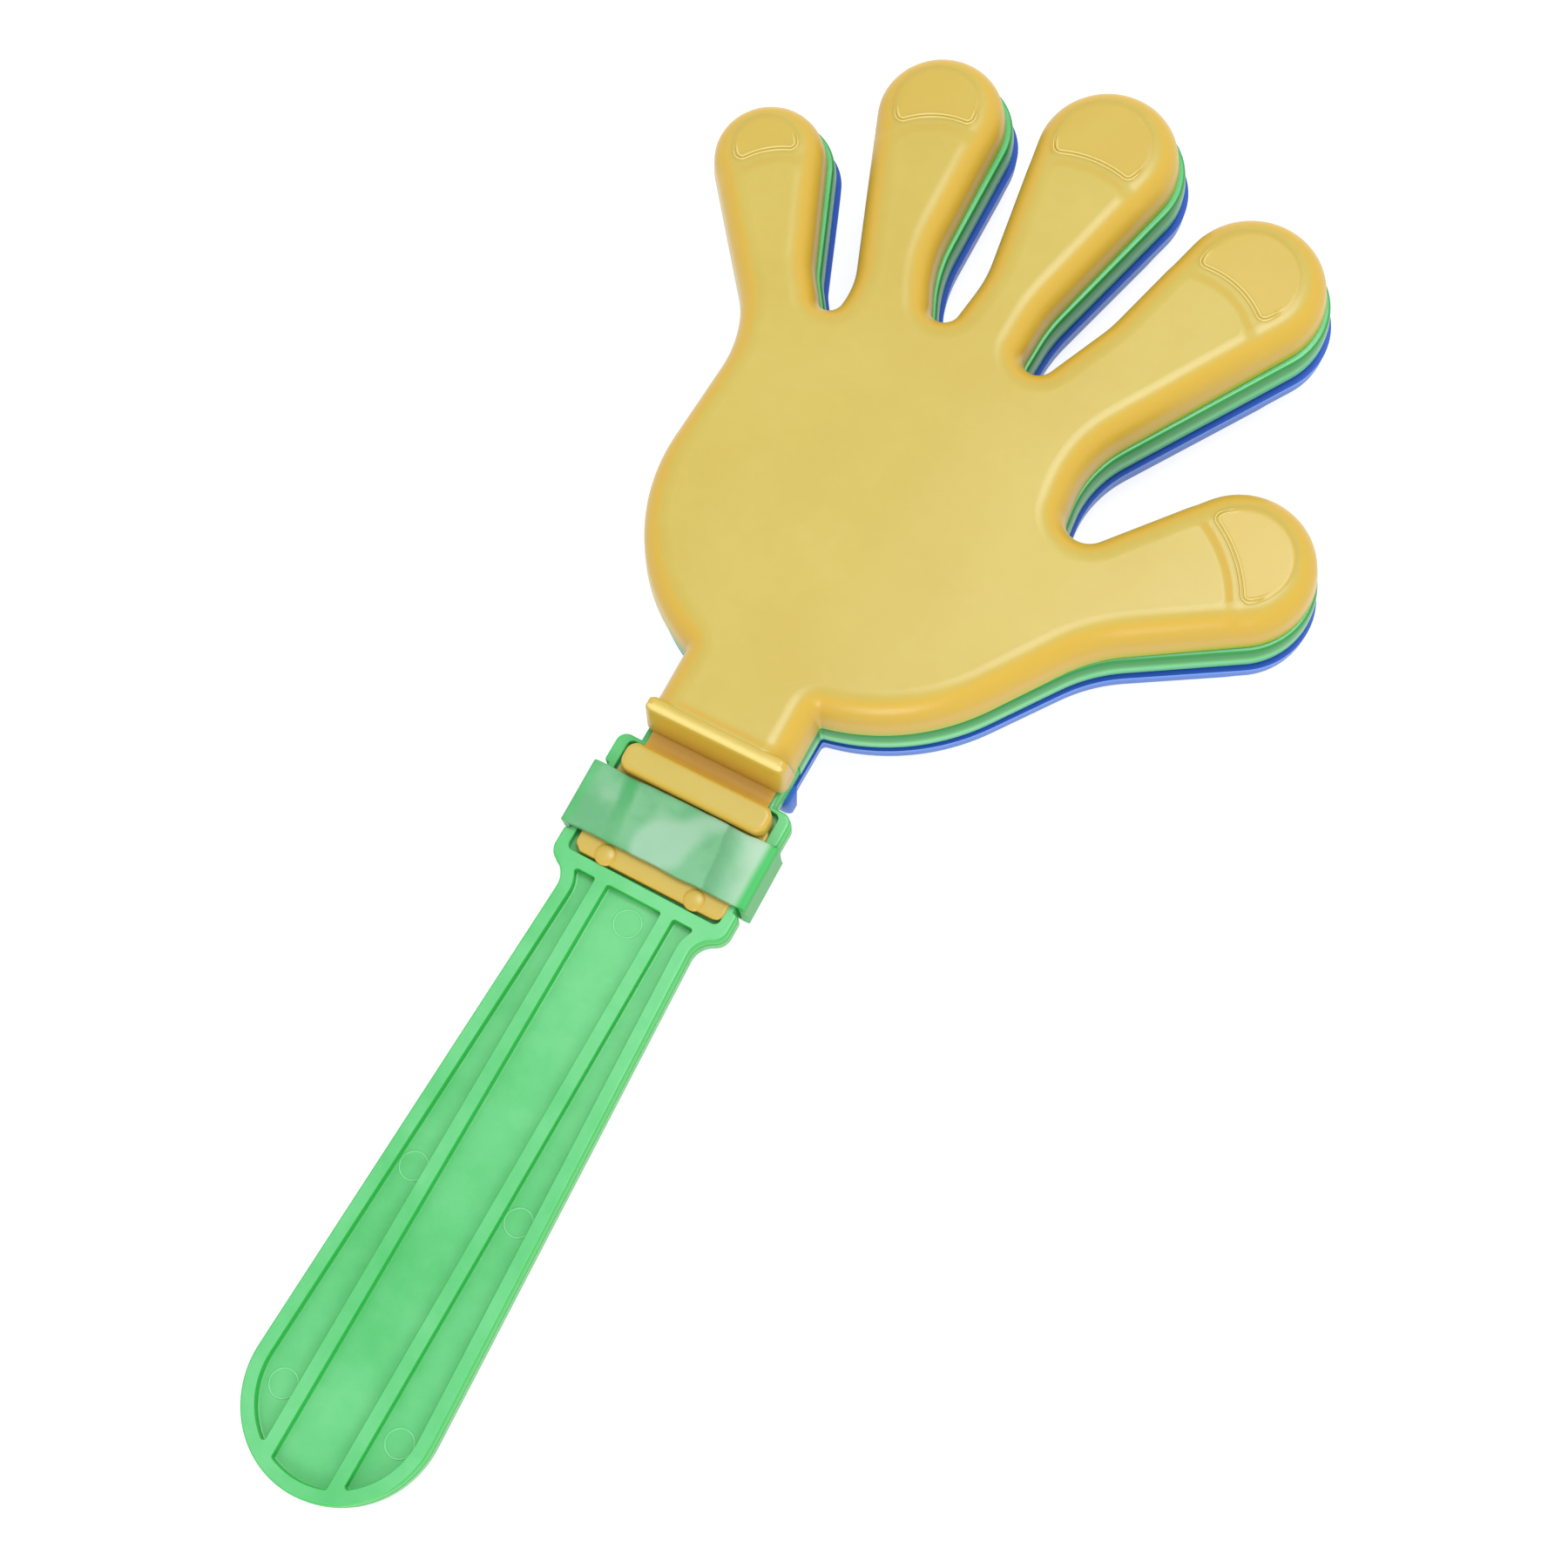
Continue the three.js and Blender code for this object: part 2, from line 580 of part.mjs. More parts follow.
// The strip is thinnest along its middle, where it bends.
function hingeStripBody() {
  const middleY = (hingeStripStartY + hingeStripEndY) / 2;
  const section = new THREE.Shape();
  section.moveTo(hingeStripEndY, hingeStripBottom);
  section.lineTo(hingeStripStartY, hingeStripBottom);
  section.lineTo(hingeStripStartY, hingeStripTop);
  section.quadraticCurveTo(middleY, hingeStripTop - 2 * HINGE_STRIP_NECKING, hingeStripEndY, hingeStripTop);
  return prismAlongX(section, 2 * HINGE_STRIP_HALF_WIDTH);
}

function hingeFootBody() {
  const bar = moulded(
    roundedRectangle(CLAMP_BAR_HALF_WIDTH, clampBarFrontY, clampBarEndY, CLAMP_BAR_CORNER),
    mouldedSide({
      foot: footBottom,
      top: footBottom + CLAMP_BAR_HEIGHT,
      draft: 0,
      edgeRadius: CLAMP_BAR_EDGE_RADIUS,
    }),
    true,
  );
  const plateStartY = clampBarFrontY - CLAMP_BAR_LENGTH / 2;
  const plate = moulded(
    roundedRectangle(FOOT_PLATE_HALF_WIDTH, plateStartY, FOOT_PLATE_END_Y, FOOT_PLATE_CORNER),
    mouldedSide({
      foot: footBottom,
      top: footPlateTop,
      draft: 0,
      edgeRadius: FOOT_PLATE_EDGE_RADIUS,
      steps: 1,
    }),
    true,
  );
  const pegs = PEG_SIDES.map((side) => {
    const bottom = SEAT_GAP / 2;
    return uprightCylinder(PEG_RADIUS, (side * PEG_SPACING) / 2, pegY, bottom, footPlateTop + PEG_PROUD);
  });
  return pegs.reduce((foot, peg) => foot.add(peg), bar.add(plate));
}

// Clasp sleeve: a band right round the head and both feet
function sleeveBody() {
  const section = roundedRectangle(sleeveHalfWidth, sleeveTop, -sleeveTop, SLEEVE_CORNER);
  const outer = beltPoints(section, 0, { closed: true });
  const band = prismAlongY(outer, SLEEVE_LENGTH / 2, SLEEVE_LENGTH);
  const length = SLEEVE_LENGTH / 2 + CUT_OVERRUN;
  return band.subtract(block(
    [-sleeveInnerHalfWidth, -length, -sleeveInnerTop],
    [sleeveInnerHalfWidth, length, sleeveInnerTop],
  ));
}

function placement(skew, shiftX) {
  return new THREE.Matrix4()
    .makeTranslation(shiftX, SKEW_CENTRE_Y, 0)
    .multiply(new THREE.Matrix4().makeRotationZ(radians(skew)))
    .multiply(new THREE.Matrix4().makeTranslation(0, -SKEW_CENTRE_Y, 0));
}

const frontPlacement = placement(FRONT_SKEW, FRONT_SHIFT_X);
const backPlacement = placement(BACK_SKEW, 0);

const GREEN = new THREE.MeshStandardMaterial({ color: 0x68dc87, roughness: 0.35, metalness: 0 });
const YELLOW = new THREE.MeshStandardMaterial({ color: 0xe0c25e, roughness: 0.32, metalness: 0 });
const BLUE = new THREE.MeshStandardMaterial({ color: 0x506ed2, roughness: 0.32, metalness: 0 });
const PALE_GREEN = new THREE.MeshStandardMaterial({ color: 0xaedcbe, roughness: 0.4, metalness: 0 });

function named(name, geometry, material) {
  const mesh = new THREE.Mesh(geometry, material);
  mesh.name = name;
  return mesh;
}

// One hand moulding, skewed and shifted as it sits on the handle
function handMoulding(side, material, skewed, form) {
  const group = new THREE.Group();
  group.add(
    named(`${side}_palm`, form(palmGeometry), material),
    named(`${side}_living_hinge`, form(hingeStripGeometry), material),
    named(`${side}_hinge_foot`, form(hingeFootGeometry), material),
  );
  skewed.decompose(group.position, group.quaternion, group.scale);
  return group;
}

const palmGeometry = toGeometry(palmShellBody());
const hingeStripGeometry = toGeometry(hingeStripBody());
const hingeFootGeometry = toGeometry(hingeFootBody());

const sleeve = named('clasp_sleeve', toGeometry(sleeveBody()), PALE_GREEN);
sleeve.position.y = sleeveStartY - SLEEVE_LENGTH / 2;
sleeve.rotation.z = radians(SLEEVE_SKEW);

const clapper = new THREE.Group();
clapper.add(
  named('handle', toGeometry(handleBody()), GREEN),
  sleeve,
  handMoulding('front', YELLOW, frontPlacement, (geometry) => geometry),
  handMoulding('back', BLUE, backPlacement, mirrored),
);
clapper.position.z = shellFace;

export default clapper;
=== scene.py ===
"""Hand clapper: a flat handle whose head carries three hands in a stack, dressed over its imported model.

The middle hand is one with the handle. A front and a back hand hang on living hinges and clap against it.
Sizes in the classes are millimetres, counted from the middle of the handle's slab, and a finished mesh
is in metres.
"""

import logging
import math
from dataclasses import dataclass, field
from enum import Enum
from typing import Callable, Iterable, Self

import bmesh
import bpy
from bmesh.types import BMEdge, BMesh, BMFace, BMLayerItem, BMVert
from mathutils import Color, Matrix, Vector, noise
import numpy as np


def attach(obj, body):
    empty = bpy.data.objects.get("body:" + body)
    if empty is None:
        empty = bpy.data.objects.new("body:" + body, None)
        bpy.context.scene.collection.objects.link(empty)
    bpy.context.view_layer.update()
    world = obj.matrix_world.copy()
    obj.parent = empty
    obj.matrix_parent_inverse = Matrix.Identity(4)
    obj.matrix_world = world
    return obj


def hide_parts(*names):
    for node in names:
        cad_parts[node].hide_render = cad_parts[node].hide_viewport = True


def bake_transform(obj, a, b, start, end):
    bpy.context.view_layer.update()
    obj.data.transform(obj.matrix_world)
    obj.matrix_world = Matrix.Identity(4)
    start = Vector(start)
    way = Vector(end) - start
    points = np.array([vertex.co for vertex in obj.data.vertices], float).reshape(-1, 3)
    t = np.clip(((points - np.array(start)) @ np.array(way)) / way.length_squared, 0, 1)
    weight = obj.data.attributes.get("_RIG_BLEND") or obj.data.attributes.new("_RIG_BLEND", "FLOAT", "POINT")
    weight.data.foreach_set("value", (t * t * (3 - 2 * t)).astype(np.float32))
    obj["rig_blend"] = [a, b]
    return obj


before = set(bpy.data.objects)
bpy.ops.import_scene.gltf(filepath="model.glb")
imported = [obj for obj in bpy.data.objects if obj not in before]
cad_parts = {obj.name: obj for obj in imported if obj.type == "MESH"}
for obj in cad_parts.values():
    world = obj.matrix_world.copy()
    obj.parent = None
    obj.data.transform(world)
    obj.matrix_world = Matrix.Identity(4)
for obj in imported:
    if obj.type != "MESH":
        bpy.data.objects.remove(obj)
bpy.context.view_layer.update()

log = logging.getLogger("clapper")

Ring = list[Vector]
# Pairs of an inset, or a radius or a share of one, and a height or a depth
Profile = tuple[tuple[float, float], ...]
# Red, green and blue as a display shows them, each from 0 to 255
Colour = tuple[float, float, float]

MILLIMETRE = 0.001
# The middle of the slab stands this far above the part's origin, which is on the back hand's face.
SLAB_MIDDLE_Z = 11.6
SLEEVE_MIDDLE_Y = -65.3
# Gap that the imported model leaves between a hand, its hinge and its foot
SEAT_GAP = 0.3
# Fineness of a curve: the widest turn and the longest run between two points
ARC_TURN = math.radians(4.5)
ARC_RUN = 1.1
# Points nearer than the first are one, and a cut keeps to a point that is nearer than the second
SAME_POINT = 1e-3
CUT_REACH = 1e-4
SHARP_ANGLE = math.radians(32)
# Width of the first ring of flat face inside a rounded edge
FLAT_MARGIN = 0.25
# The mesh attribute that marks raised lines with a painted highlight, from RAISED_FOOT up to 1,
# and places of deeper tone below 0: painted shade in grooves, on steps, in fillets and on low parts, and the
# foot's deeper tone
RAISED = "raised"
RAISED_FOOT = 0.1
DEEP_MARK = -0.8
# The mesh attribute that tells a shell's outer skin from its inside while it is shaped
OUTER = "outer"
# Share of the painted shade on slopes that a nail takes
NAIL_TINT = 0.45


class Side(Enum):
    """Which hand of the pair, by the way that its face looks along Z."""

    FRONT = 1
    BACK = -1


@dataclass(frozen=True)
class Arc:
    """One round of a belt. A radius above 0 bulges, one below 0 is a hollow, and 0 is a corner."""

    x: float
    y: float
    radius: float = 0.0

    @property
    def centre(self) -> Vector:
        """The arc's centre."""
        return Vector((self.x, self.y, 0))

    def way_to(self, other: Self) -> Vector:
        """The way from this arc's centre to another's."""
        return Vector((other.x - self.x, other.y - self.y, 0))

    def flipped(self) -> Self:
        """The same arc on the other side of the handle's axis."""
        return Arc(-self.x, self.y, self.radius)


@dataclass(frozen=True)
class Belt:
    """An outline of arcs in anticlockwise order, joined by the straight lines that touch both."""

    arcs: tuple[Arc, ...]
    closed: bool = False

    def fitted(self) -> list[Arc]:
        """Makes sure that no hollow is rounder than its neighbours leave room for.

        Returns:
            The arcs in order.
        """
        found = []
        for i, arc in enumerate(self.arcs):
            if arc.radius < 0:
                beside = self.arcs[i - 1], self.arcs[(i + 1) % len(self.arcs)]
                room = [math.hypot(o.x - arc.x, o.y - arc.y) - o.radius for o in beside]
                arc = Arc(arc.x, arc.y, -min(-arc.radius, *room))
            found.append(arc)
        return found

    @staticmethod
    def tangent(start: Arc, end: Arc) -> tuple[float, float]:
        """The line that touches two arcs.

        Args:
            start: the arc that it leaves.
            end: the arc that it reaches.

        Returns:
            Its heading in radians, and its length.
        """
        dx, dy = end.x - start.x, end.y - start.y
        distance = math.hypot(dx, dy)
        lean = max(-1.0, min(1.0, (end.radius - start.radius) / distance))
        return math.atan2(dy, dx) - math.asin(lean), distance * math.sqrt(1 - lean * lean)

    @staticmethod
    def bend(arc: Arc, start: float, end: float, inset: float, z: float, joined: bool) -> Ring:
        """The points of one round, or the single point of a corner.

        Args:
            arc: the round.
            start: the outline's heading where it reaches the round.
            end: its heading where it leaves the round.
            inset: how far the outline is drawn in.
            z: the height of the points.
            joined: whether the round before ends where this one starts.

        Returns:
            The points in order.
        """
        if arc.radius == 0:
            reach = inset / (1 + math.cos(end - start))
            x = arc.x - reach * (math.sin(start) + math.sin(end))
            y = arc.y + reach * (math.cos(start) + math.cos(end))
            return [Vector((x, y, z))]
        side = math.copysign(1, arc.radius)
        quarter = math.pi / 2
        turn = side * ((side * (end - start) + quarter) % math.tau - quarter)
        steps = math.ceil(max(abs(turn) / ARC_TURN, abs(arc.radius * turn) / ARC_RUN))
        reach = arc.radius - inset
        points: Ring = []
        for k in range(1 if joined else 0, steps + 1):
            heading = start + turn * k / max(steps, 1)
            points.append(Vector((arc.x + reach * math.sin(heading), arc.y - reach * math.cos(heading), z)))
        return points

    def ring(self, inset: float, z: float) -> Ring:
        """The outline's points, drawn in and at one height. Every inset gives the same number of points.

        Args:
            inset: how far the outline is drawn in.
            z: the height of the points.

        Returns:
            The points in order.
        """
        arcs = self.fitted()
        last = len(arcs) - 1
        points: Ring = []
        for i, arc in enumerate(arcs):
            arriving = self.tangent(arcs[i - 1], arc) if self.closed or i > 0 else None
            leaving = self.tangent(arc, arcs[(i + 1) % len(arcs)]) if self.closed or i < last else None
            joined = arriving is not None and arriving[1] < SAME_POINT
            own = self.bend(arc, (arriving or leaving)[0], (leaving or arriving)[0], inset, z, joined)
            if points and arriving and not joined:
                straight = math.ceil(arriving[1] / ARC_RUN)
                first, run = points[-1].copy(), own[0] - points[-1]
                points += [first + run * (k / straight) for k in range(1, straight)]
            points += own
        return points


def circle(x: float, y: float, radius: float, z: float, count: int = 40) -> Ring:
    """The points of a level circle."""
    turns = [math.tau * k / count for k in range(count)]
    return [Vector((x + radius * math.cos(a), y + radius * math.sin(a), z)) for a in turns]


def rounded_rectangle(half_width: float, start_y: float, end_y: float, radius: float) -> Belt:
    """A closed rectangle with round corners.

    Args:
        half_width: half its width along X.
        start_y: its upper side.
        end_y: its lower side.
        radius: the corners' radius.

    Returns:
        Its outline.
    """
    x, high, low = half_width - radius, start_y - radius, end_y + radius
    right, left = (Arc(x, low, radius), Arc(x, high, radius)), (Arc(-x, high, radius), Arc(-x, low, radius))
    return Belt((*right, *left), closed=True)


def smooth_step(low: float, high: float, value: float) -> float:
    """0 below low and 1 above high, with a soft run between them."""
    t = max(0.0, min(1.0, (value - low) / (high - low)))
    return t * t * (3 - 2 * t)


def bell(distance: float, width: float) -> float:
    """1 at no distance, falling softly to nothing over about twice the width."""
    return math.exp(-((distance / width) ** 2))


class Skin:
    """A skin that grows ring by ring inside a bmesh."""

    def __init__(self, bm: BMesh, first: Ring) -> None:
        """Starts the skin with one closed ring of edges.

        Args:
            bm: the mesh that it grows in.
            first: the ring's points.
        """
        self.bm = bm
        self.verts: list[BMVert] = [bm.verts.new(point) for point in first]
        pairs = zip(self.verts, self.verts[1:] + self.verts[:1])
        self.edges: list[BMEdge] = [bm.edges.new(pair) for pair in pairs]
        self.first = list(self.edges)

    def cap(self) -> None:
        """Closes the ring that the skin has reached with one flat face."""
        bmesh.ops.contextual_create(self.bm, geom=self.edges)

    def grow(self, points: Ring) -> None:
        """Extrudes the ring that the skin has reached onto a new one.

        Args:
            points: the new ring, in step with the one before.
        """
        made = bmesh.ops.extrude_edge_only(self.bm, edges=self.edges)["geom"]
        fresh = {v for v in made if isinstance(v, BMVert)}
        follows: list[BMVert] = []
        for vert, point in zip(self.verts, points):
            new = next(e.other_vert(vert) for e in vert.link_edges if e.other_vert(vert) in fresh)
            new.co = point
            follows.append(new)
        self.verts = follows
        edges = {frozenset(e.verts): e for e in made if isinstance(e, BMEdge)}
        self.edges = [edges[frozenset(pair)] for pair in zip(follows, follows[1:] + follows[:1])]

    def grow_all(self, rings: Iterable[Ring]) -> Self:
        """Extrudes through several rings in turn.

        Args:
            rings: the new rings, in step with the one before.

        Returns:
            The skin.
        """
        for points in rings:
            self.grow(points)
        return self


def solid(bm: BMesh, rings: list[Ring]) -> None:
    """Adds a closed body through rings, with a flat face at either end.

    Args:
        bm: the mesh that it is added to.
        rings: the rings from end to end, all with the same number of points.
    """
    skin = Skin(bm, rings[0])
    skin.cap()
    skin.grow_all(rings[1:]).cap()


def hoop(bm: BMesh, rings: list[Ring]) -> None:
    """Adds a closed hoop through rings, with its last ring joined to the first."""
    skin = Skin(bm, rings[0]).grow_all(rings[1:])
    bmesh.ops.bridge_loops(bm, edges=skin.first + skin.edges)


def raised_layer(bm: BMesh) -> BMLayerItem:
    """The mesh's layer of marks, added when it is missing."""
    return bm.verts.layers.float.get(RAISED) or bm.verts.layers.float.new(RAISED)


def add_marked(bm: BMesh, body: Callable[[BMesh, list[Ring]], None], rings: list[Ring],
               mark: Callable[[Vector], float]) -> None:
    """Adds a body through rings and marks its points for the finish.

    Args:
        bm: the mesh that it is added to.
        body: how the body is made, as a solid or a hoop.
        rings: the rings from end to end.
        mark: gives a point's mark from its place.
    """
    layer = raised_layer(bm)
    before = set(bm.verts)
    body(bm, rings)
    for vert in set(bm.verts) - before:
        vert[layer] = mark(vert.co)


def slice_faces(bm: BMesh, faces: list[BMFace], place: Vector, normal: Vector) -> list[BMFace]:
    """Cuts faces along a plane.

    Args:
        bm: the mesh that they are in.
        faces: the faces to cut.
        place: a point of the plane.
        normal: the plane's normal.

    Returns:
        The faces after the cut.
    """
    geometry = set(faces)
    for face in faces:
        geometry.update(face.edges)
        geometry.update(face.verts)
    cut = bmesh.ops.bisect_plane(bm, geom=list(geometry), dist=CUT_REACH, plane_co=place, plane_no=normal)
    return [g for g in cut["geom"] if isinstance(g, BMFace) and g.is_valid]


def edge_profile(
    foot: float, top: float, draft: float, radius: float, facets: int, inset: float = 0.0,
) -> Profile:
    """The side of a moulded block: a wall that leans in, then a rounded top edge and a flat margin.

    Args:
        foot: height of the wall's foot.
        top: height of the flat top.
        draft: the wall's lean in degrees.
        radius: radius of the top edge.
        facets: how many facets go round that edge.
        inset: how far in the foot starts.

    Returns:
        Pairs of inset and height, from the foot up.
    """
    lean = math.radians(draft)
    centre_z = top - radius
    centre = (radius + (centre_z - foot) * math.sin(lean)) / math.cos(lean)
    levels = [(inset, foot)]
    for k in range(facets + 1):
        angle = lean + (math.pi / 2 - lean) * k / facets
        levels.append((inset + centre - radius * math.cos(angle), centre_z + radius * math.sin(angle)))
    levels.append((levels[-1][0] + FLAT_MARGIN, top))
    return tuple(levels)


@dataclass(frozen=True)
class Placement:
    """How a loose piece sits on the handle.

    It is turned by its skew in degrees, in the plane of the hand about a place on the handle's axis,
    and shifted.
    """

    skew: float = 0.0
    shift: Vector = field(default_factory=Vector)
    centre_y: float = -50.0
    side: Side = Side.FRONT

    def matrix(self) -> Matrix:
        """Works out the move from a piece's own drawing to the part's frame.

        Returns:
            The move, from millimetres to metres.
        """
        centre = Matrix.Translation((0, self.centre_y, 0))
        turn = centre @ Matrix.Rotation(math.radians(self.skew), 4, "Z") @ centre.inverted()
        mirror = Matrix.Diagonal((1, 1, self.side.value, 1))
        lift = Matrix.Translation((0, 0, SLAB_MIDDLE_Z))
        return Matrix.Scale(MILLIMETRE, 4) @ lift @ Matrix.Translation(self.shift) @ turn @ mirror


def finished(name: str, bm: BMesh, placement: Placement) -> bpy.types.Object:
    """Turns a bmesh in millimetres into an object of the scene, in metres.

    Args:
        name: the piece's name.
        bm: its mesh, which is used up.
        placement: how it sits on the handle.

    Returns:
        The object, at the origin.
    """
    bmesh.ops.dissolve_degenerate(bm, dist=CUT_REACH, edges=bm.edges)
    bmesh.ops.transform(bm, matrix=placement.matrix(), verts=bm.verts)
    bmesh.ops.recalc_face_normals(bm, faces=bm.faces)
    for face in bm.faces:
        face.smooth = True
    for edge in bm.edges:
        edge.smooth = not (edge.is_manifold and edge.calc_face_angle() > SHARP_ANGLE)
    mesh = bpy.data.meshes.new(name)
    bm.to_mesh(mesh)
    bm.free()
    piece = bpy.data.objects.new(name, mesh)
    bpy.context.scene.collection.objects.link(piece)
    return piece


# Finishes

# Numbers of a Mix node's sockets, whose names repeat for each kind of value
MIX_SHARE = 0
MIX_NUMBERS = (2, 3)
MIX_COLOURS = (6, 7)
MIX_NUMBER_OUT = 0
MIX_COLOUR_OUT = 2


def linear(colour: Colour) -> tuple[float, float, float, float]:
    """A display colour as linear values with full alpha."""
    return (*Color([part / 255 for part in colour]).from_srgb_to_scene_linear(), 1.0)


@dataclass(frozen=True)
class Pattern:
    """A noise: its features per metre, its detail and roughness, and the values its patches run between."""

    scale: float
    detail: float = 2.0
    roughness: float = 0.5
    low: float = 0.3
    high: float = 0.7


@dataclass(frozen=True)
class ScuffLines:
    """One lot of fine scuffs: the way that they run in radians, how far they are drawn out, their noise."""

    turn: float
    stretch: float
    pattern: Pattern


DRIFT = Pattern(38.0)
BLOTCH = Pattern(260.0, 4.0, 0.6)
WAVE = Pattern(42.0, 1.0, 0.4)
GRAIN = Pattern(900.0)
SCUFFS = (
    ScuffLines(0.6, 6.0, Pattern(140.0, 3.0, 0.6, 0.64, 0.76)),
    ScuffLines(-0.9, 8.0, Pattern(180.0, 3.0, 0.6, 0.66, 0.78)),
)


class Graph:
    """Short calls that add nodes to one tree and link them."""

    def __init__(self, tree: bpy.types.NodeTree) -> None:
        """Works on one node tree."""
        self.tree = tree

    def add(
        self, kind: str, links: dict[str | int, object] | None = None, **settings: object,
    ) -> bpy.types.Node:
        """Adds a node.

        Args:
            kind: the node's type.
            links: a socket or a value for each input, by the input's name or number.
            settings: the node's own properties.

        Returns:
            The node.
        """
        node = self.tree.nodes.new(kind)
        for name, value in settings.items():
            setattr(node, name, value)
        for key, value in (links or {}).items():
            if isinstance(value, bpy.types.NodeSocket):
                self.tree.links.new(value, node.inputs[key])
            else:
                node.inputs[key].default_value = value
        return node

    def place(self) -> bpy.types.NodeSocket:
        """A point's place in the part's frame, in metres."""
        return self.add("ShaderNodeTexCoord").outputs["Object"]

    def split(self, vector: bpy.types.NodeSocket) -> bpy.types.bpy_prop_collection:
        """A vector's X, Y and Z."""
        return self.add("ShaderNodeSeparateXYZ", {"Vector": vector}).outputs

    def maths(self, operation: str, *values: object) -> bpy.types.NodeSocket:
        """The result of a Math node."""
        return self.add("ShaderNodeMath", dict(enumerate(values)), operation=operation).outputs[0]

    def ramp(self, value: object, low: float, high: float) -> bpy.types.NodeSocket:
        """A value's even place between two others, from 0 to 1."""
        return self.add("ShaderNodeMapRange", {"Value": value, "From Min": low, "From Max": high}).outputs[0]

    def span(
        self, value: object, low: object, high: object, to_low: float = 0.0, to_high: float = 1.0,
    ) -> bpy.types.NodeSocket:
        """A value's softly eased place between two others."""
        links = {"Value": value, "From Min": low, "From Max": high, "To Min": to_low, "To Max": to_high}
        return self.add("ShaderNodeMapRange", links, interpolation_type="SMOOTHSTEP").outputs[0]

    def between(self, share: object, first: object, second: object) -> bpy.types.NodeSocket:
        """A number between two others."""
        links = {MIX_SHARE: share, MIX_NUMBERS[0]: first, MIX_NUMBERS[1]: second}
        return self.add("ShaderNodeMix", links).outputs[MIX_NUMBER_OUT]

    def mix(self, share: object, first: object, second: object) -> bpy.types.NodeSocket:
        """Two colours mixed."""
        links = {MIX_SHARE: share, MIX_COLOURS[0]: first, MIX_COLOURS[1]: second}
        return self.add("ShaderNodeMix", links, data_type="RGBA").outputs[MIX_COLOUR_OUT]

    def noise(self, vector: bpy.types.NodeSocket, pattern: Pattern) -> bpy.types.NodeSocket:
        """A pattern's plain noise."""
        size = {"Scale": pattern.scale, "Detail": pattern.detail, "Roughness": pattern.roughness}
        return self.add("ShaderNodeTexNoise", {"Vector": vector, **size}).outputs["Fac"]

    def patches(self, vector: bpy.types.NodeSocket, pattern: Pattern) -> bpy.types.NodeSocket:
        """A pattern's noise drawn out into patches between 0 and 1."""
        return self.span(self.noise(vector, pattern), pattern.low, pattern.high)


def group(name: str, inputs: dict[str, float], outputs: tuple[str, ...],
          fill: Callable[[Graph, bpy.types.Node], dict[str, bpy.types.NodeSocket]]) -> bpy.types.NodeTree:
    """A shader node group of plain numbers, built once.

    Args:
        name: the group's name.
        inputs: each input's first value.
        outputs: the names of the outputs.
        fill: adds the nodes after the group's input node, and gives what goes to each output.

    Returns:
        The group.
    """
    found = bpy.data.node_groups.get(name)
    if found:
        return found
    tree = bpy.data.node_groups.new(name, "ShaderNodeTree")
    for label, value in inputs.items():
        socket = tree.interface.new_socket(label, in_out="INPUT", socket_type="NodeSocketFloat")
        socket.default_value = value
    for label in outputs:
        tree.interface.new_socket(label, in_out="OUTPUT", socket_type="NodeSocketFloat")
    graph = Graph(tree)
    graph.add("NodeGroupOutput", fill(graph, graph.add("NodeGroupInput")))
    return tree


def slope_group() -> bpy.types.NodeTree:
    """How steep the surface is: 0 on a face that looks along Z and 1 on an upright wall.

    Returns:
        The group, with the leans that count as flat and as steep for its inputs.
    """
    def fill(graph: Graph, start: bpy.types.Node) -> dict[str, bpy.types.NodeSocket]:
        """Measures how far the normal leans from Z.

        Args:
            graph: the group's nodes.
            start: its input node.

        Returns:
            The slope.
        """
        up = graph.split(graph.add("ShaderNodeTexCoord").outputs["Normal"])["Z"]
        lean = graph.maths("SUBTRACT", 1.0, graph.maths("ABSOLUTE", up))
        return {"Slope": graph.span(lean, start.outputs["Flat"], start.outputs["Steep"])}

    return group("slope of the moulding", {"Flat": 0.01, "Steep": 0.4}, ("Slope",), fill)


def mottle_group() -> bpy.types.NodeTree:
    """Cloudy variation of moulded plastic: large drifts and a finer blotch.

    Returns:
        The group.
    """
    def fill(graph: Graph, _start: bpy.types.Node) -> dict[str, bpy.types.NodeSocket]:
        """Adds the two noises."""
        place = graph.place()
        return {"Drift": graph.patches(place, DRIFT), "Blotch": graph.patches(place, BLOTCH)}

    return group("mottle of the plastic", {}, ("Drift", "Blotch"), fill)


def handling_group() -> bpy.types.NodeTree:
    """Marks of handling: fine scuffs for the gloss, and shallow dents and waves for the height.

    Returns:
        The group, with the heights of its waves, grain and scratches for its inputs.
    """
    def fill(graph: Graph, start: bpy.types.Node) -> dict[str, bpy.types.NodeSocket]:
        """Adds crossed scuffs, and adds up the heights.

        Args:
            graph: the group's nodes.
            start: its input node.

        Returns:
            The scuffs and the height.
        """
        place = graph.place()
        lots = []
        for lines in SCUFFS:
            moved = {"Rotation": (0.0, 0.0, lines.turn), "Scale": (1.0, lines.stretch, 1.0)}
            drawn_out = graph.add("ShaderNodeMapping", {"Vector": place, **moved}).outputs[0]
            lots.append(graph.patches(drawn_out, lines.pattern))
        scuffs = graph.maths("MAXIMUM", *lots)
        waves = graph.maths("MULTIPLY", graph.noise(place, WAVE), start.outputs["Wave"])
        grain = graph.maths("MULTIPLY", graph.noise(place, GRAIN), start.outputs["Grain"])
        scratches = graph.maths("MULTIPLY", scuffs, start.outputs["Scratch"])
        height = graph.maths("SUBTRACT", graph.maths("ADD", waves, grain), scratches)
        return {"Scuffs": scuffs, "Height": height}

    inputs = {"Wave": 0.4, "Grain": 0.01, "Scratch": 0.01}
    return group("marks of handling", inputs, ("Scuffs", "Height"), fill)


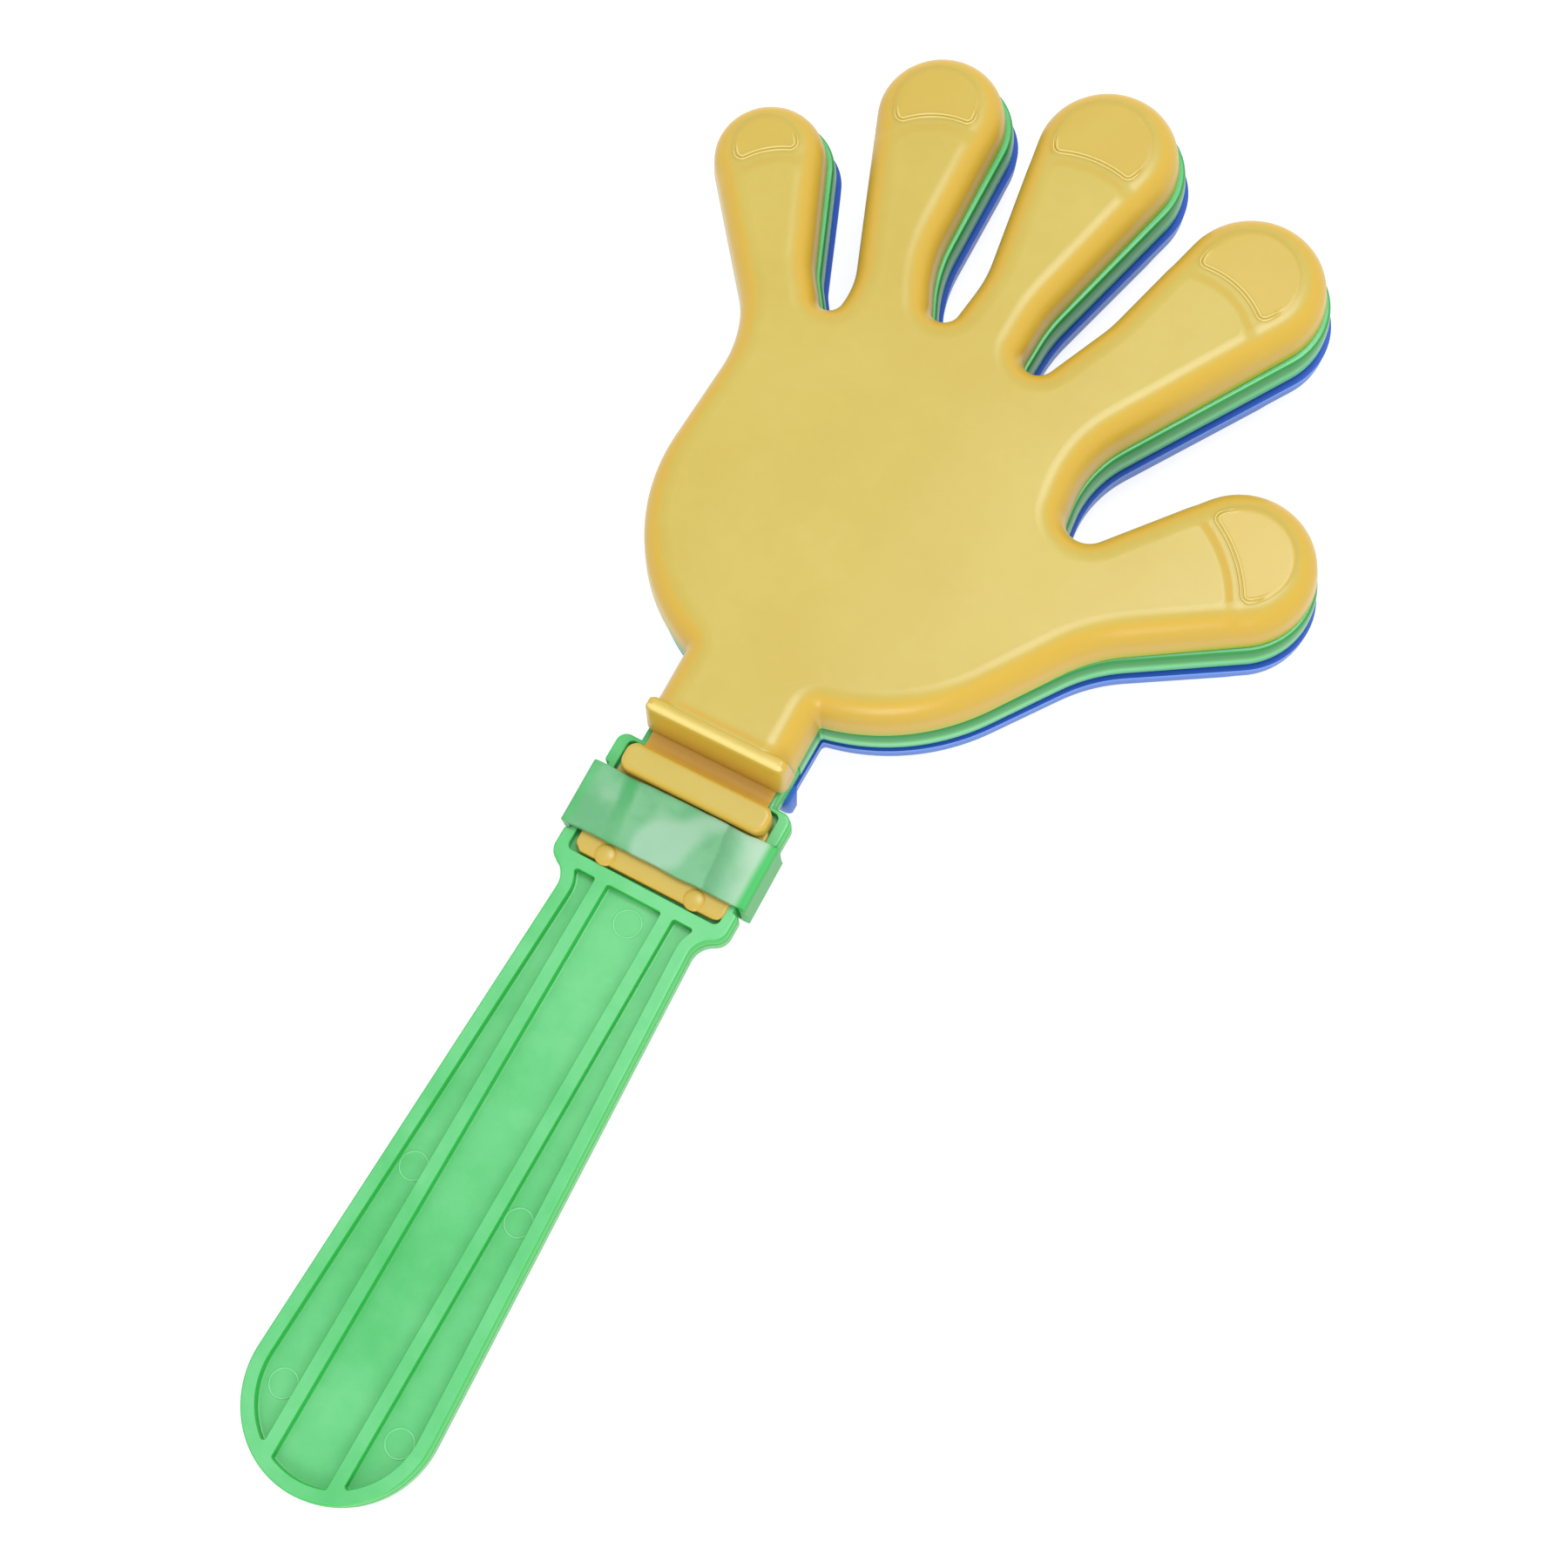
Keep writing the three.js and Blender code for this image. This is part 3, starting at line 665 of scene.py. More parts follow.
@dataclass(frozen=True)
class PlasticFinish:
    """Glossy moulded plastic, with painted shade that deepens its colour where the surface slopes.

    The light tone is a painted highlight on raised lines, the deep one painted shade in hollows and low
    places and the foot's deeper tone, and the rim's tone, painted light near a rim, lies on steep walls
    within a span of height.
    A share says how much of a tone shows at its fullest.
    Leans count as flat and as steep as the slope's group has them, the gloss is the roughness of the plain
    and of the scuffed surface, and lengths are metres.
    """

    name: str
    slot: str
    face: Colour
    slope: Colour
    cloud: Colour
    light: Colour
    cloud_share: float = 0.35
    blotch_share: float = 0.4
    light_share: float = 0.65
    # Painted light on steep walls near a hand's rim: a painted green reflection of the middle hand on the
    # yellow hand, and a painted lightening of the shaded upper wall on the blue hand
    rim: Colour | None = None
    rim_light_share: float = 0.7
    rim_light_span: tuple[float, float] = (0.0155, 0.0175)
    deep: Colour | None = None
    specular: float = 0.5
    ior: float = 1.49
    flat: float = 0.003
    steep: float = 0.14
    gloss: tuple[float, float] = (0.3, 0.34)
    subsurface: float = 0.08
    scatter: tuple[float, float, float] = (0.003, 0.002, 0.001)
    wave: float = 0.35
    grain: float = 0.006
    scratch: float = 0.0004

    def colour(self, graph: Graph) -> bpy.types.NodeSocket:
        """The face's tone, clouded, running to the slope's tone of painted shade, with a painted highlight on
        lighter marks and a deeper tone, mostly painted shade, on deeper ones.

        Args:
            graph: the material's nodes.

        Returns:
            The base colour.
        """
        leans = {"Flat": self.flat, "Steep": self.steep}
        slope = graph.add("ShaderNodeGroup", leans, node_tree=slope_group())
        mottle = graph.add("ShaderNodeGroup", node_tree=mottle_group())
        drift = graph.maths("MULTIPLY", mottle.outputs["Drift"], self.cloud_share)
        blotch = graph.maths("MULTIPLY", mottle.outputs["Blotch"], self.cloud_share * self.blotch_share)
        tone = graph.mix(graph.maths("ADD", drift, blotch), linear(self.face), linear(self.cloud))
        mark = graph.add("ShaderNodeAttribute", attribute_name=RAISED).outputs["Fac"]
        on_nail = graph.ramp(mark, 0.0, RAISED_FOOT)
        # Painted shade on slopes, with less of it on a nail
        tone = graph.mix(graph.between(on_nail, slope.outputs["Slope"], NAIL_TINT), tone, linear(self.slope))
        # Deeper tone on marks below 0, mostly painted shade
        tone = graph.mix(graph.span(mark, -1.0, 0.0, 1.0, 0.0), tone, linear(self.deep or self.slope))
        # Painted light near the rim, kept off the deeper marks
        if self.rim:
            height = graph.split(graph.place())["Z"]
            painted_rim_light = graph.maths("MULTIPLY", graph.span(height, *self.rim_light_span, self.rim_light_share, 0.0),
                                   slope.outputs["Slope"])
            outside_deep_marks = graph.ramp(mark, -RAISED_FOOT, 0.0)
            tone = graph.mix(graph.maths("MULTIPLY", painted_rim_light, outside_deep_marks), tone, linear(self.rim))
        # Painted highlight on marks from RAISED_FOOT up
        return graph.mix(graph.span(mark, RAISED_FOOT, 1.0, 0.0, self.light_share), tone, linear(self.light))

    def material(self) -> bpy.types.Material:
        """Makes the finish as a material.

        Returns:
            The material.
        """
        material = bpy.data.materials.new(self.name)
        material.use_nodes = True
        graph = Graph(material.node_tree)
        shader = material.node_tree.nodes["Principled BSDF"]
        heights = {"Wave": self.wave, "Grain": self.grain, "Scratch": self.scratch}
        marks = graph.add("ShaderNodeGroup", heights, node_tree=handling_group())
        roughness = graph.span(marks.outputs["Scuffs"], 0.0, 1.0, *self.gloss)
        depth = {"Height": marks.outputs["Height"], "Distance": MILLIMETRE, "Strength": 1.0}
        bump = graph.add("ShaderNodeBump", depth)
        links = material.node_tree.links
        links.new(self.colour(graph), shader.inputs["Base Color"])
        links.new(roughness, shader.inputs["Roughness"])
        links.new(bump.outputs[0], shader.inputs["Normal"])
        shader.inputs["IOR"].default_value = self.ior
        shader.inputs["Specular IOR Level"].default_value = self.specular
        shader.inputs["Subsurface Weight"].default_value = self.subsurface
        shader.inputs["Subsurface Radius"].default_value = self.scatter
        shader.inputs["Subsurface Scale"].default_value = 1.0
        return material


@dataclass(frozen=True)
class SleeveFinish(PlasticFinish):
    """Milky plastic of the sleeve, through which the parts beneath show as darker bands.

    Places are metres in the part's frame. A depth says how much of a tone shows at its fullest,
    and a pair of depths belongs to the two ends of a span.
    """

    cloud_share: float = 0.75
    clouds: Pattern = Pattern(150.0, 3.0, 0.55, 0.34, 0.66)
    milk: Colour = (146, 180, 156)
    milk_share: float = 0.7
    milk_drifts: Pattern = Pattern(95.0, 1.0, 0.4, 0.48, 0.66)
    middle_y: float = SLEEVE_MIDDLE_Y * MILLIMETRE
    lean: float = 0.14
    waver: Pattern = Pattern(400.0)
    waver_reach: float = 0.0012
    soft_edge: float = 0.0004
    band: Colour = (60, 146, 84)
    band_x: float = -0.0094
    band_half_width: float = 0.0019
    band_run: tuple[float, float] = (-0.006, 0.005)
    band_depths: tuple[float, float] = (0.35, 0.9)
    shade: Colour = (84, 142, 100)
    shade_x: float = 0.0091
    shade_width: float = 0.0034
    shade_depth: float = 0.8
    haze: Colour = (158, 190, 164)
    haze_end_x: float = 0.0164
    haze_depth: float = 0.8
    # Painted shade where the top turns down into the sides, deeper on the right side
    fold_shade: Colour = (38, 166, 74)
    fold_span: tuple[float, float] = (0.0155, 0.017)
    fold_depths: tuple[float, float] = (0.35, 0.9)
    # Painted shade on the outer side walls
    wall: Colour = (74, 160, 90)
    wall_span: tuple[float, float] = (0.0176, 0.018)

    def colour(self, graph: Graph) -> bpy.types.NodeSocket:
        """Cloudy milk, two bands that lean across it, and painted shade in deeper green at the folds and on
        the side walls.

        Args:
            graph: the material's nodes.

        Returns:
            The base colour.
        """
        place = graph.place()
        axes = graph.split(place)
        clouds = graph.maths("MULTIPLY", graph.patches(place, self.clouds), self.cloud_share)
        tone = graph.mix(clouds, linear(self.face), linear(self.cloud))
        drifts = graph.maths("MULTIPLY", graph.patches(place, self.milk_drifts), self.milk_share)
        tone = graph.mix(drifts, tone, linear(self.milk))

        along = graph.maths("SUBTRACT", axes["Y"], self.middle_y)
        waver = graph.maths("SUBTRACT", graph.noise(place, self.waver), 0.5)
        across = graph.maths("ADD", axes["X"], graph.maths("MULTIPLY", along, self.lean))
        across = graph.maths("ADD", across, graph.maths("MULTIPLY", waver, self.waver_reach))
        off_band = graph.maths("ABSOLUTE", graph.maths("SUBTRACT", across, self.band_x))
        band = graph.span(off_band, self.soft_edge, self.band_half_width, 1.0, 0.0)
        band = graph.maths("MULTIPLY", band, graph.span(along, *self.band_run, *self.band_depths))
        tone = graph.mix(band, tone, linear(self.band))
        shade = graph.span(across, self.shade_x - self.soft_edge, self.shade_x + self.soft_edge)
        fade = graph.span(across, self.shade_x, self.shade_x + self.shade_width, self.shade_depth, 0.0)
        tone = graph.mix(graph.maths("MULTIPLY", shade, fade), tone, linear(self.shade))
        haze = graph.span(across, self.shade_x + self.shade_width / 2, self.haze_end_x, 0.0, self.haze_depth)
        tone = graph.mix(haze, tone, linear(self.haze))

        outward = graph.maths("ABSOLUTE", axes["X"])
        by_side = graph.span(axes["X"], -MILLIMETRE, MILLIMETRE, *self.fold_depths)
        fold_shade = graph.maths("MULTIPLY", graph.span(outward, *self.fold_span), by_side)
        tone = graph.mix(fold_shade, tone, linear(self.fold_shade))
        return graph.mix(graph.span(outward, *self.wall_span), tone, linear(self.wall))


# In each finish the slope tone is painted shade, the light tone a painted highlight, the deep tone mostly
# painted shade and the rim tone painted light
YELLOW = PlasticFinish(
    "yellow plastic", "yellow_plastic",
    face=(179, 161, 76), slope=(190, 156, 55), cloud=(172, 148, 60), light=(222, 204, 128),
    rim=(150, 164, 20), deep=(192, 146, 48), specular=0.4,
)
BLUE = PlasticFinish(
    "blue plastic", "blue_plastic",
    face=(42, 84, 186), slope=(36, 94, 180), cloud=(38, 76, 176), light=(96, 136, 220),
    rim=(76, 140, 240), rim_light_span=(0.0079, 0.0058), gloss=(0.38, 0.42), specular=0.25, subsurface=0.0,
)
GREEN = PlasticFinish(
    "green plastic", "green_plastic",
    face=(70, 170, 96), slope=(46, 172, 72), cloud=(98, 184, 120), light=(134, 212, 154),
    deep=(34, 132, 60), cloud_share=0.7, specular=0.4,
)
PALE_GREEN = SleeveFinish(
    "pale green plastic", "pale_green_plastic",
    face=(106, 164, 122), slope=(96, 156, 114), cloud=(84, 150, 102), light=(170, 200, 178),
    gloss=(0.4, 0.45), specular=0.2,
)


# Hands

@dataclass(frozen=True)
class Nail:
    """A fingernail in low relief, beyond the soft step where the finger's flat pad ends.

    The tip is the fingertip's round, the base the round that the nail's lower line follows, and the rim the
    round of its free edge. The pad ends pad_gap inside the base, along the step, and beyond it the fingertip
    lies lower by the drop. The fingertip's edge has the rounding, and its flat starts flat_inset from the
    outline.
    """

    tip: Arc
    base: Arc
    rim: Arc
    pad_gap: float
    # Painted shade on the step where the pad ends: its share, where it is darkest past the pad, and its width
    step_shade: float = 0.22
    step_shade_middle: float = 0.25
    step_shade_width: float = 0.9
    corner: float = 1.5
    # The step down: its height, where it begins and ends past the pad, and the grid's margins on both sides
    drop: float = 0.5
    step: tuple[float, float] = (-0.9, 1.1)
    step_margins: tuple[float, float] = (1.8, 1.7)
    side_margin: float = 2.0
    cap_inset: float = 5.6
    rounding: float = 5.0
    flat_inset: float = 5.343
    # The plate: the depth of its foot in the fingertip, its lowest level, its rise and half of the rise's run
    sunk: float = 0.5
    plate_foot: float = -0.03
    plate_rise: float = 0.11
    plate_run: float = 0.5
    # The double line round the nail, as height, inset and width, and the span from the base where it fades
    lines: tuple[tuple[float, float, float], ...] = (
        (0.24, 0.0, 0.17), (-0.2, 0.32, 0.13), (0.2, 0.64, 0.17),
    )
    line_fade: tuple[float, float] = (0.8, 5.0)
    first_inset: float = -0.55
    ring_step: float = 0.1
    ring_count: int = 20
    # Heights over which the lines take a painted highlight, and the height below which the line's groove
    # takes painted shade
    lit: tuple[float, float] = (0.09, 0.24)
    groove: float = -0.04

    @property
    def axis(self) -> Vector:
        """The way that the nail points, in the plane of the hand."""
        return self.base.way_to(self.tip).normalized()

    @property
    def across(self) -> Vector:
        """The way across the nail, a quarter turn on from its axis."""
        return Vector((-self.axis.y, self.axis.x, 0))

    @property
    def reach(self) -> float:
        """Half the width of the fingertip's flat."""
        return self.tip.radius - self.cap_inset

    @property
    def pad_radius(self) -> float:
        """Radius of the arc that ends the pad."""
        return self.base.radius - self.pad_gap

    def local(self, x: float, y: float) -> tuple[float, float]:
        """A place as lengths along and across the nail's axis, from the tip's centre."""
        along, dx, dy = self.axis, x - self.tip.x, y - self.tip.y
        return along.x * dx + along.y * dy, along.x * dy - along.y * dx

    def past_pad(self, u: float, v: float) -> float:
        """How far a place lies beyond the arc that ends the pad.

        Args:
            u: the place along the nail's axis.
            v: the place across it.

        Returns:
            The length, below 0 on the pad.
        """
        held = max(-self.reach, min(self.reach, v))
        place = self.tip.centre + u * self.axis + held * self.across
        return (place - self.base.centre).length - self.pad_radius

    def lowered(self, x: float, y: float) -> float:
        """How far the fingertip's skin lies below the level of the hand's face.

        Args:
            x: the place along X.
            y: the place along Y.

        Returns:
            The drop, which is 0 away from this fingertip.
        """
        u, v = self.local(x, y)
        if u < -self.tip.radius or abs(v) > self.tip.radius + self.side_margin or u > 2 * self.tip.radius:
            return 0.0
        return self.drop * smooth_step(*self.step, self.past_pad(u, v))

    def step_shade_at(self, x: float, y: float) -> float:
        """How much painted shade deepens the tone on the step where the pad ends.

        Args:
            x: the place along X.
            y: the place along Y.

        Returns:
            The share, which is 0 away from this fingertip.
        """
        u, v = self.local(x, y)
        if u < -self.tip.radius or abs(v) > self.tip.radius or u > self.tip.radius:
            return 0.0
        return self.step_shade * bell(self.past_pad(u, v) - self.step_shade_middle, self.step_shade_width)

    def skin_drop(self, x: float, y: float) -> float:
        """How far the fingertip's rounded skin lies below the flat of the hand's face.

        Args:
            x: the place along X.
            y: the place along Y.

        Returns:
            The drop, with that of the rounded edge.
        """
        u, v = self.local(x, y)
        beyond = min(self.rounding, max(0.0, math.hypot(max(u, 0.0), v) - self.tip.radius + self.flat_inset))
        edge = self.rounding - math.sqrt(self.rounding ** 2 - beyond ** 2)
        return edge + self.drop * smooth_step(*self.step, self.past_pad(u, v))

    def pad_span(self) -> tuple[float, float]:
        """Finds the step along the axis, over the width of the flat.

        Returns:
            Where it begins and where it ends.
        """
        apex = self.pad_radius - math.hypot(self.tip.x - self.base.x, self.tip.y - self.base.y)
        bulge = self.pad_radius - math.sqrt(self.pad_radius ** 2 - self.reach ** 2)
        before, past = self.step_margins
        return apex - bulge - before, apex + past

    def outline(self) -> Belt:
        """Works out the corners between the nail's free edge and the hollow line at its base.

        Returns:
            The nail's outline.
        """
        far = self.base.way_to(self.rim)
        reach, span = self.base.radius + self.corner, far.length
        inner = self.rim.radius - self.corner
        along = (reach * reach - inner * inner + span * span) / (2 * span)
        across = math.sqrt(reach * reach - along * along)
        unit = far / span
        side = Vector((-unit.y, unit.x, 0))
        low = self.base.centre + along * unit
        left, right = low + across * side, low - across * side
        return Belt((
            Arc(right.x, right.y, self.corner),
            self.rim,
            Arc(left.x, left.y, self.corner),
            Arc(self.base.x, self.base.y, -self.base.radius),
        ), closed=True)

    def relief(self, inset: float, point: Vector) -> float:
        """Height of the nail above the lowered fingertip: a thin plate with a double line round it.

        Args:
            inset: how far inside the outline the point lies.
            point: the point.

        Returns:
            The height.
        """
        beyond = math.hypot(point.x - self.base.x, point.y - self.base.y) - self.base.radius
        strength = 1 - smooth_step(*self.line_fade, beyond)
        plate = self.plate_foot + self.plate_rise * smooth_step(-self.plate_run, self.plate_run, inset)
        lines = sum(height * bell(inset - middle, width) for height, middle, width in self.lines)
        return plate + strength * lines

    def build(self, bm: BMesh, face_z: float) -> None:
        """Adds the nail as a thin closed body whose foot is sunk in the fingertip.

        Args:
            bm: the mesh of the hand.
            face_z: height of the hand's flat face.
        """
        insets = [self.first_inset, *[self.first_inset + self.ring_step * k for k in range(self.ring_count)]]
        belt = self.outline()
        rings = [belt.ring(inset, 0.0) for inset in insets]
        layer = raised_layer(bm)
        before = set(bm.verts)
        solid(bm, rings)
        added = [v for v in bm.verts if v not in before]
        for k, vert in enumerate(added):
            ring = k // len(rings[0])
            height = self.relief(insets[ring], vert.co) if ring else -self.sunk
            # A painted highlight on the raised lines, and painted shade in the groove between them
            vert[layer] = RAISED_FOOT + (1 - RAISED_FOOT) * smooth_step(*self.lit, height)
            if ring and insets[ring] > 0 and height < self.groove:
                vert[layer] = DEEP_MARK
            vert.co.z = face_z - self.skin_drop(vert.co.x, vert.co.y) + height


@dataclass(frozen=True)
class HandShape:
    """The outline that all three hands share at their rims.

    Each finger has a tip, a hollow down each side, and a valley between it and the next one. The thumb has
    a hollow on its underside only.
    """

    neck_half_width: float = 13.4
    neck_crease: float = 0.5
    neck_top_y: float = -38.0
    neck_end_y: float = -48.0
    thumb_heel: Arc = Arc(5.5, 2.5, 40)
    thumb_underside: Arc = Arc(69.5, -26.5, -29)
    thumb_tip: Arc = Arc(64.5, 20.5, 13.5)
    thumb_valley: Arc = Arc(38, 16.5, -4)
    first_right: Arc = Arc(54, 21.5, -20.5)
    first_tip: Arc = Arc(43.5, 68.7, 13.6)
    first_left: Arc = Arc(0.3, 59.8, -25.7)
    first_valley: Arc = Arc(16.5, 39.7, -2.6)
    middle_right: Arc = Arc(44, 43.6, -30)
    middle_tip: Arc = Arc(9.1, 81.1, 13.2)
    middle_left: Arc = Arc(-23.8, 49.5, -24)
    middle_valley: Arc = Arc(-3, 41.3, -2.3)
    ring_right: Arc = Arc(20.7, 56, -30)
    ring_tip: Arc = Arc(-21.8, 75.7, 11.9)
    ring_left: Arc = Arc(-35.6, 36, -15.4)
    ring_valley: Arc = Arc(-22.3, 34.1, -1.9)
    little_right: Arc = Arc(-17.4, 44.6, -12)
    little_tip: Arc = Arc(-46.1, 54.8, 10.5)
    little_left: Arc = Arc(-56, 15, -22.2)
    little_heel: Arc = Arc(-0.7, -3.8, 34.2)
    # The rounds that each nail's lower line and free edge follow
    thumb_nail: tuple[Arc, Arc] = (Arc(44.8, 2.4, 25.5), Arc(64.7, 21.0, 8.8))
    first_nail: tuple[Arc, Arc] = (Arc(36.0, 50.3, 16.5), Arc(42.8, 68.6, 9.0))
    middle_nail: tuple[Arc, Arc] = (Arc(8.8, 57.3, 20.0), Arc(8.2, 81.1, 8.8))
    ring_nail: tuple[Arc, Arc] = (Arc(-15.9, 60.0, 14.2), Arc(-22.4, 75.5, 7.7))
    little_nail: tuple[Arc, Arc] = (Arc(-37.3, 43.0, 13.6), Arc(-46.5, 54.9, 5.9))

    def crease(self, heel: Arc, side: int) -> Arc:
        """The small hollow where the side of the neck meets a heel.

        Args:
            heel: the heel.
            side: 1 for the thumb's side and -1 for the other.

        Returns:
            The hollow.
        """
        x = side * (self.neck_half_width + self.neck_crease)
        reach = heel.radius + self.neck_crease
        return Arc(x, heel.y - math.sqrt(reach ** 2 - (x - heel.x) ** 2), -self.neck_crease)

    def belt(self) -> Belt:
        """Puts the rounds in order, with the neck at full length.

        Returns:
            The outline.
        """
        return Belt((
            Arc(self.neck_half_width, self.neck_end_y), self.crease(self.thumb_heel, 1), self.thumb_heel,
            self.thumb_underside, self.thumb_tip, self.thumb_valley,
            self.first_right, self.first_tip, self.first_left, self.first_valley,
            self.middle_right, self.middle_tip, self.middle_left, self.middle_valley,
            self.ring_right, self.ring_tip, self.ring_left, self.ring_valley,
            self.little_right, self.little_tip, self.little_left,
            self.little_heel, self.crease(self.little_heel, -1), Arc(-self.neck_half_width, self.neck_end_y),
        ))

    def ring(self, inset: float, z: float, neck_end_y: float) -> Ring:
        """The outline drawn in, with its neck shortened.

        Args:
            inset: how far the outline is drawn in.
            z: the height of the points.
            neck_end_y: where the neck ends.

        Returns:
            The points in order.
        """
        points = self.belt().ring(inset, z)
        share = (neck_end_y - self.neck_top_y) / (self.neck_end_y - self.neck_top_y)
        for point in points:
            if point.y < self.neck_top_y:
                point.y = self.neck_top_y + share * (point.y - self.neck_top_y)
        return points

    def nails(self) -> tuple[Nail, ...]:
        """Sets a nail on each fingertip.

        Returns:
            The five fingernails, from the thumb on.
        """
        return (
            Nail(self.thumb_tip, *self.thumb_nail, pad_gap=2.1, step_shade=0.45),
            Nail(self.first_tip, *self.first_nail, pad_gap=2.2),
            Nail(self.middle_tip, *self.middle_nail, pad_gap=2.0),
            Nail(self.ring_tip, *self.ring_nail, pad_gap=2.2),
            Nail(self.little_tip, *self.little_nail, pad_gap=2.1),
        )


HAND = HandShape()


@dataclass
class HandMoulding:
    """An outer hand with its hinge and foot: one moulding, in three pieces that move apart.

    A tone is a mark below 0. An edge is a radius, and its facets go round it.
    """

    side: Side
    placement: Placement
    finish: PlasticFinish
    rim_z: float = 3.6
    depth: float = 8.0
    wall: float = 1.5
    face_thickness: float = 1.6
    edge_radius: float = 5.0
    edge_facets: int = 9
    inner_edge_radius: float = 1.7
    inner_edge_facets: int = 4
    draft: float = 6.0
    # The grid that is cut into a fingertip, and how far round a tip its border is looked for, in tip radii
    grid_along: float = 0.3
    grid_across: float = 0.6
    tip_reach: float = 1.6
    rib_front_y: float = -50.5
    rib_back_y: float = -45.2
    rib_half_length: float = 13.8
    rib_corner: float = 1.6
    rib_taper: float = 1.35
    rib_end_taper: float = 0.3
    rib_proud: float = 0.6
    rib_edge: float = 1.2
    rib_facets: int = 8
    rib_root: Profile = ((0.9, 0.0), (0.5, 0.15), (0.2, 0.5), (0.0, 1.0))
    # Painted shade towards the rib's root, and a painted highlight along the front of its crest
    rib_root_shade: float = -0.5
    crest_light: tuple[float, float] = (0.5, 0.15)
    crest_light_run: float = 0.6
    fillet_length: float = 2.2
    fillet_cuts: int = 6
    fillet_rise: float = 0.8
    # Painted shade along the fillet that rises to the rib: its share and width
    fillet_shade: float = 0.5
    fillet_shade_width: float = 0.7
    strip_bottom: float = 3.0
    strip_thickness: float = 0.6
    strip_half_width: float = 12.1
    strip_necking: float = 0.2
    necking_reach: float = 1.3
    let_in_rib: float = 1.0
    let_in_bar: float = 0.6
    strip_steps: int = 16
    strip_rows: int = 60
    bar_front_y: float = -53.7
    bar_length: float = 5.2
    bar_half_width: float = 14.1
    bar_height: float = 4.9
    bar_corner: float = 2.0
    bar_edge: float = 0.8
    bar_facets: int = 5
    bar_tone: float = -0.12
    foot_bottom: float = 1.3
    plate_end_y: float = -74.8
    plate_half_width: float = 14.5
    plate_thickness: float = 1.7
    plate_corner: float = 1.8
    plate_edge: float = 0.3
    plate_facets: int = 3
    plate_tone: float = -0.3
    # The plate's ragged tail: where it starts and is full, its noise, its height and its mean reach
    tail: tuple[float, float] = (-70.0, -74.0)
    rag_scale: tuple[float, float] = (0.9, 0.5)
    rag_seed: float = 4.0
    rag_height: float = 0.35
    rag_reach: float = 0.15
    peg_radius: float = 1.95
    peg_spacing: float = 17.4
    peg_inset: float = 1.6
    peg_sunk: float = 0.4
    # The peg's head, as shares of its radius and heights above the plate
    peg_dome: Profile = (
        (1.0, -0.05), (0.93, 0.09), (0.82, 0.22), (0.66, 0.33), (0.46, 0.41), (0.24, 0.45), (0.1, 0.46),
    )

    @property
    def label(self) -> str:
        """The word that this hand's pieces and nodes start with."""
        return self.side.name.lower()

    @property
    def body(self) -> str:
        """The body that this hand is."""
        return f"{self.label}_hand"

    @property
    def face_z(self) -> float:
        """Height of the hand's flat face."""
        return self.rim_z + self.depth

    @property
    def fillet_y(self) -> float:
        """Where the fillet on the hand's face meets the rib."""
        return self.rib_back_y - self.rib_taper

    def shell(self, bm: BMesh) -> None:
        """The hollow hand: its skin, rim and inside, cut finely where its face is shaped.

        Args:
            bm: the mesh that it starts.
        """
        outside = edge_profile(self.rim_z, self.face_z, self.draft, self.edge_radius, self.edge_facets)
        inside = edge_profile(
            self.rim_z, self.face_z - self.face_thickness, self.draft,
            self.inner_edge_radius, self.inner_edge_facets, self.wall,
        )
        rings = [HAND.ring(inset, z, HAND.neck_end_y) for inset, z in reversed(outside)]
        rings += [HAND.ring(inset, z, self.rib_back_y) for inset, z in inside]
        outer = bm.verts.layers.float.new(OUTER)
        skin = Skin(bm, rings[0])
        skin.cap()
        border = list(skin.verts)
        skin.grow_all(rings[1:len(outside)])
        outer_verts = set(bm.verts)
        skin.grow_all(rings[len(outside):]).cap()
        for vert in bm.verts:
            vert[outer] = 1.0 if vert in outer_verts else 0.0
        for nail in HAND.nails():
            self.grid_pad_end(bm, border, nail)
        for k in range(self.fillet_cuts + 1):
            y = self.fillet_y + self.fillet_length * k / self.fillet_cuts
            slice_faces(bm, list(bm.faces), Vector((0, y, 0)), Vector((0, 1, 0)))
        self.shape_face(bm)

    def grid_pad_end(self, bm: BMesh, border: list[BMVert], nail: Nail) -> None:
        """Cuts a fine grid into the flat face where a finger's pad steps down to its tip.

        Args:
            bm: the shell's mesh.
            border: the points round its flat face.
            nail: the finger's nail.
        """
        low, high = nail.pad_span()
        centre, radius = nail.tip.centre, nail.tip.radius
        ends = []
        for side in (-1, 1):
            near = [v for v in border if 0 < side * nail.local(*v.co.xy)[1] < radius
                    and (v.co.xy - centre.xy).length < self.tip_reach * radius]
            ends.append(min(near, key=lambda v: abs(nail.local(*v.co.xy)[0] - low)))
        bmesh.ops.connect_verts(bm, verts=ends)
        shared = set(ends[0].link_faces) & set(ends[1].link_faces)
        patch = [min(shared, key=lambda f: (f.calc_center_median() - centre).xy.length)]
        steps = math.ceil((high - low) / self.grid_along)
        for k in range(1, steps + 1):
            u = low + (high - low) * k / steps
            patch = slice_faces(bm, patch, centre + u * nail.axis, nail.axis)
        patch = [f for f in patch if nail.local(*f.calc_center_bounds().xy)[0] < high]
        reach = math.ceil(radius / self.grid_across)
        for k in range(-reach, reach + 1):
            patch = slice_faces(bm, patch, centre + self.grid_across * k * nail.across, nail.across)

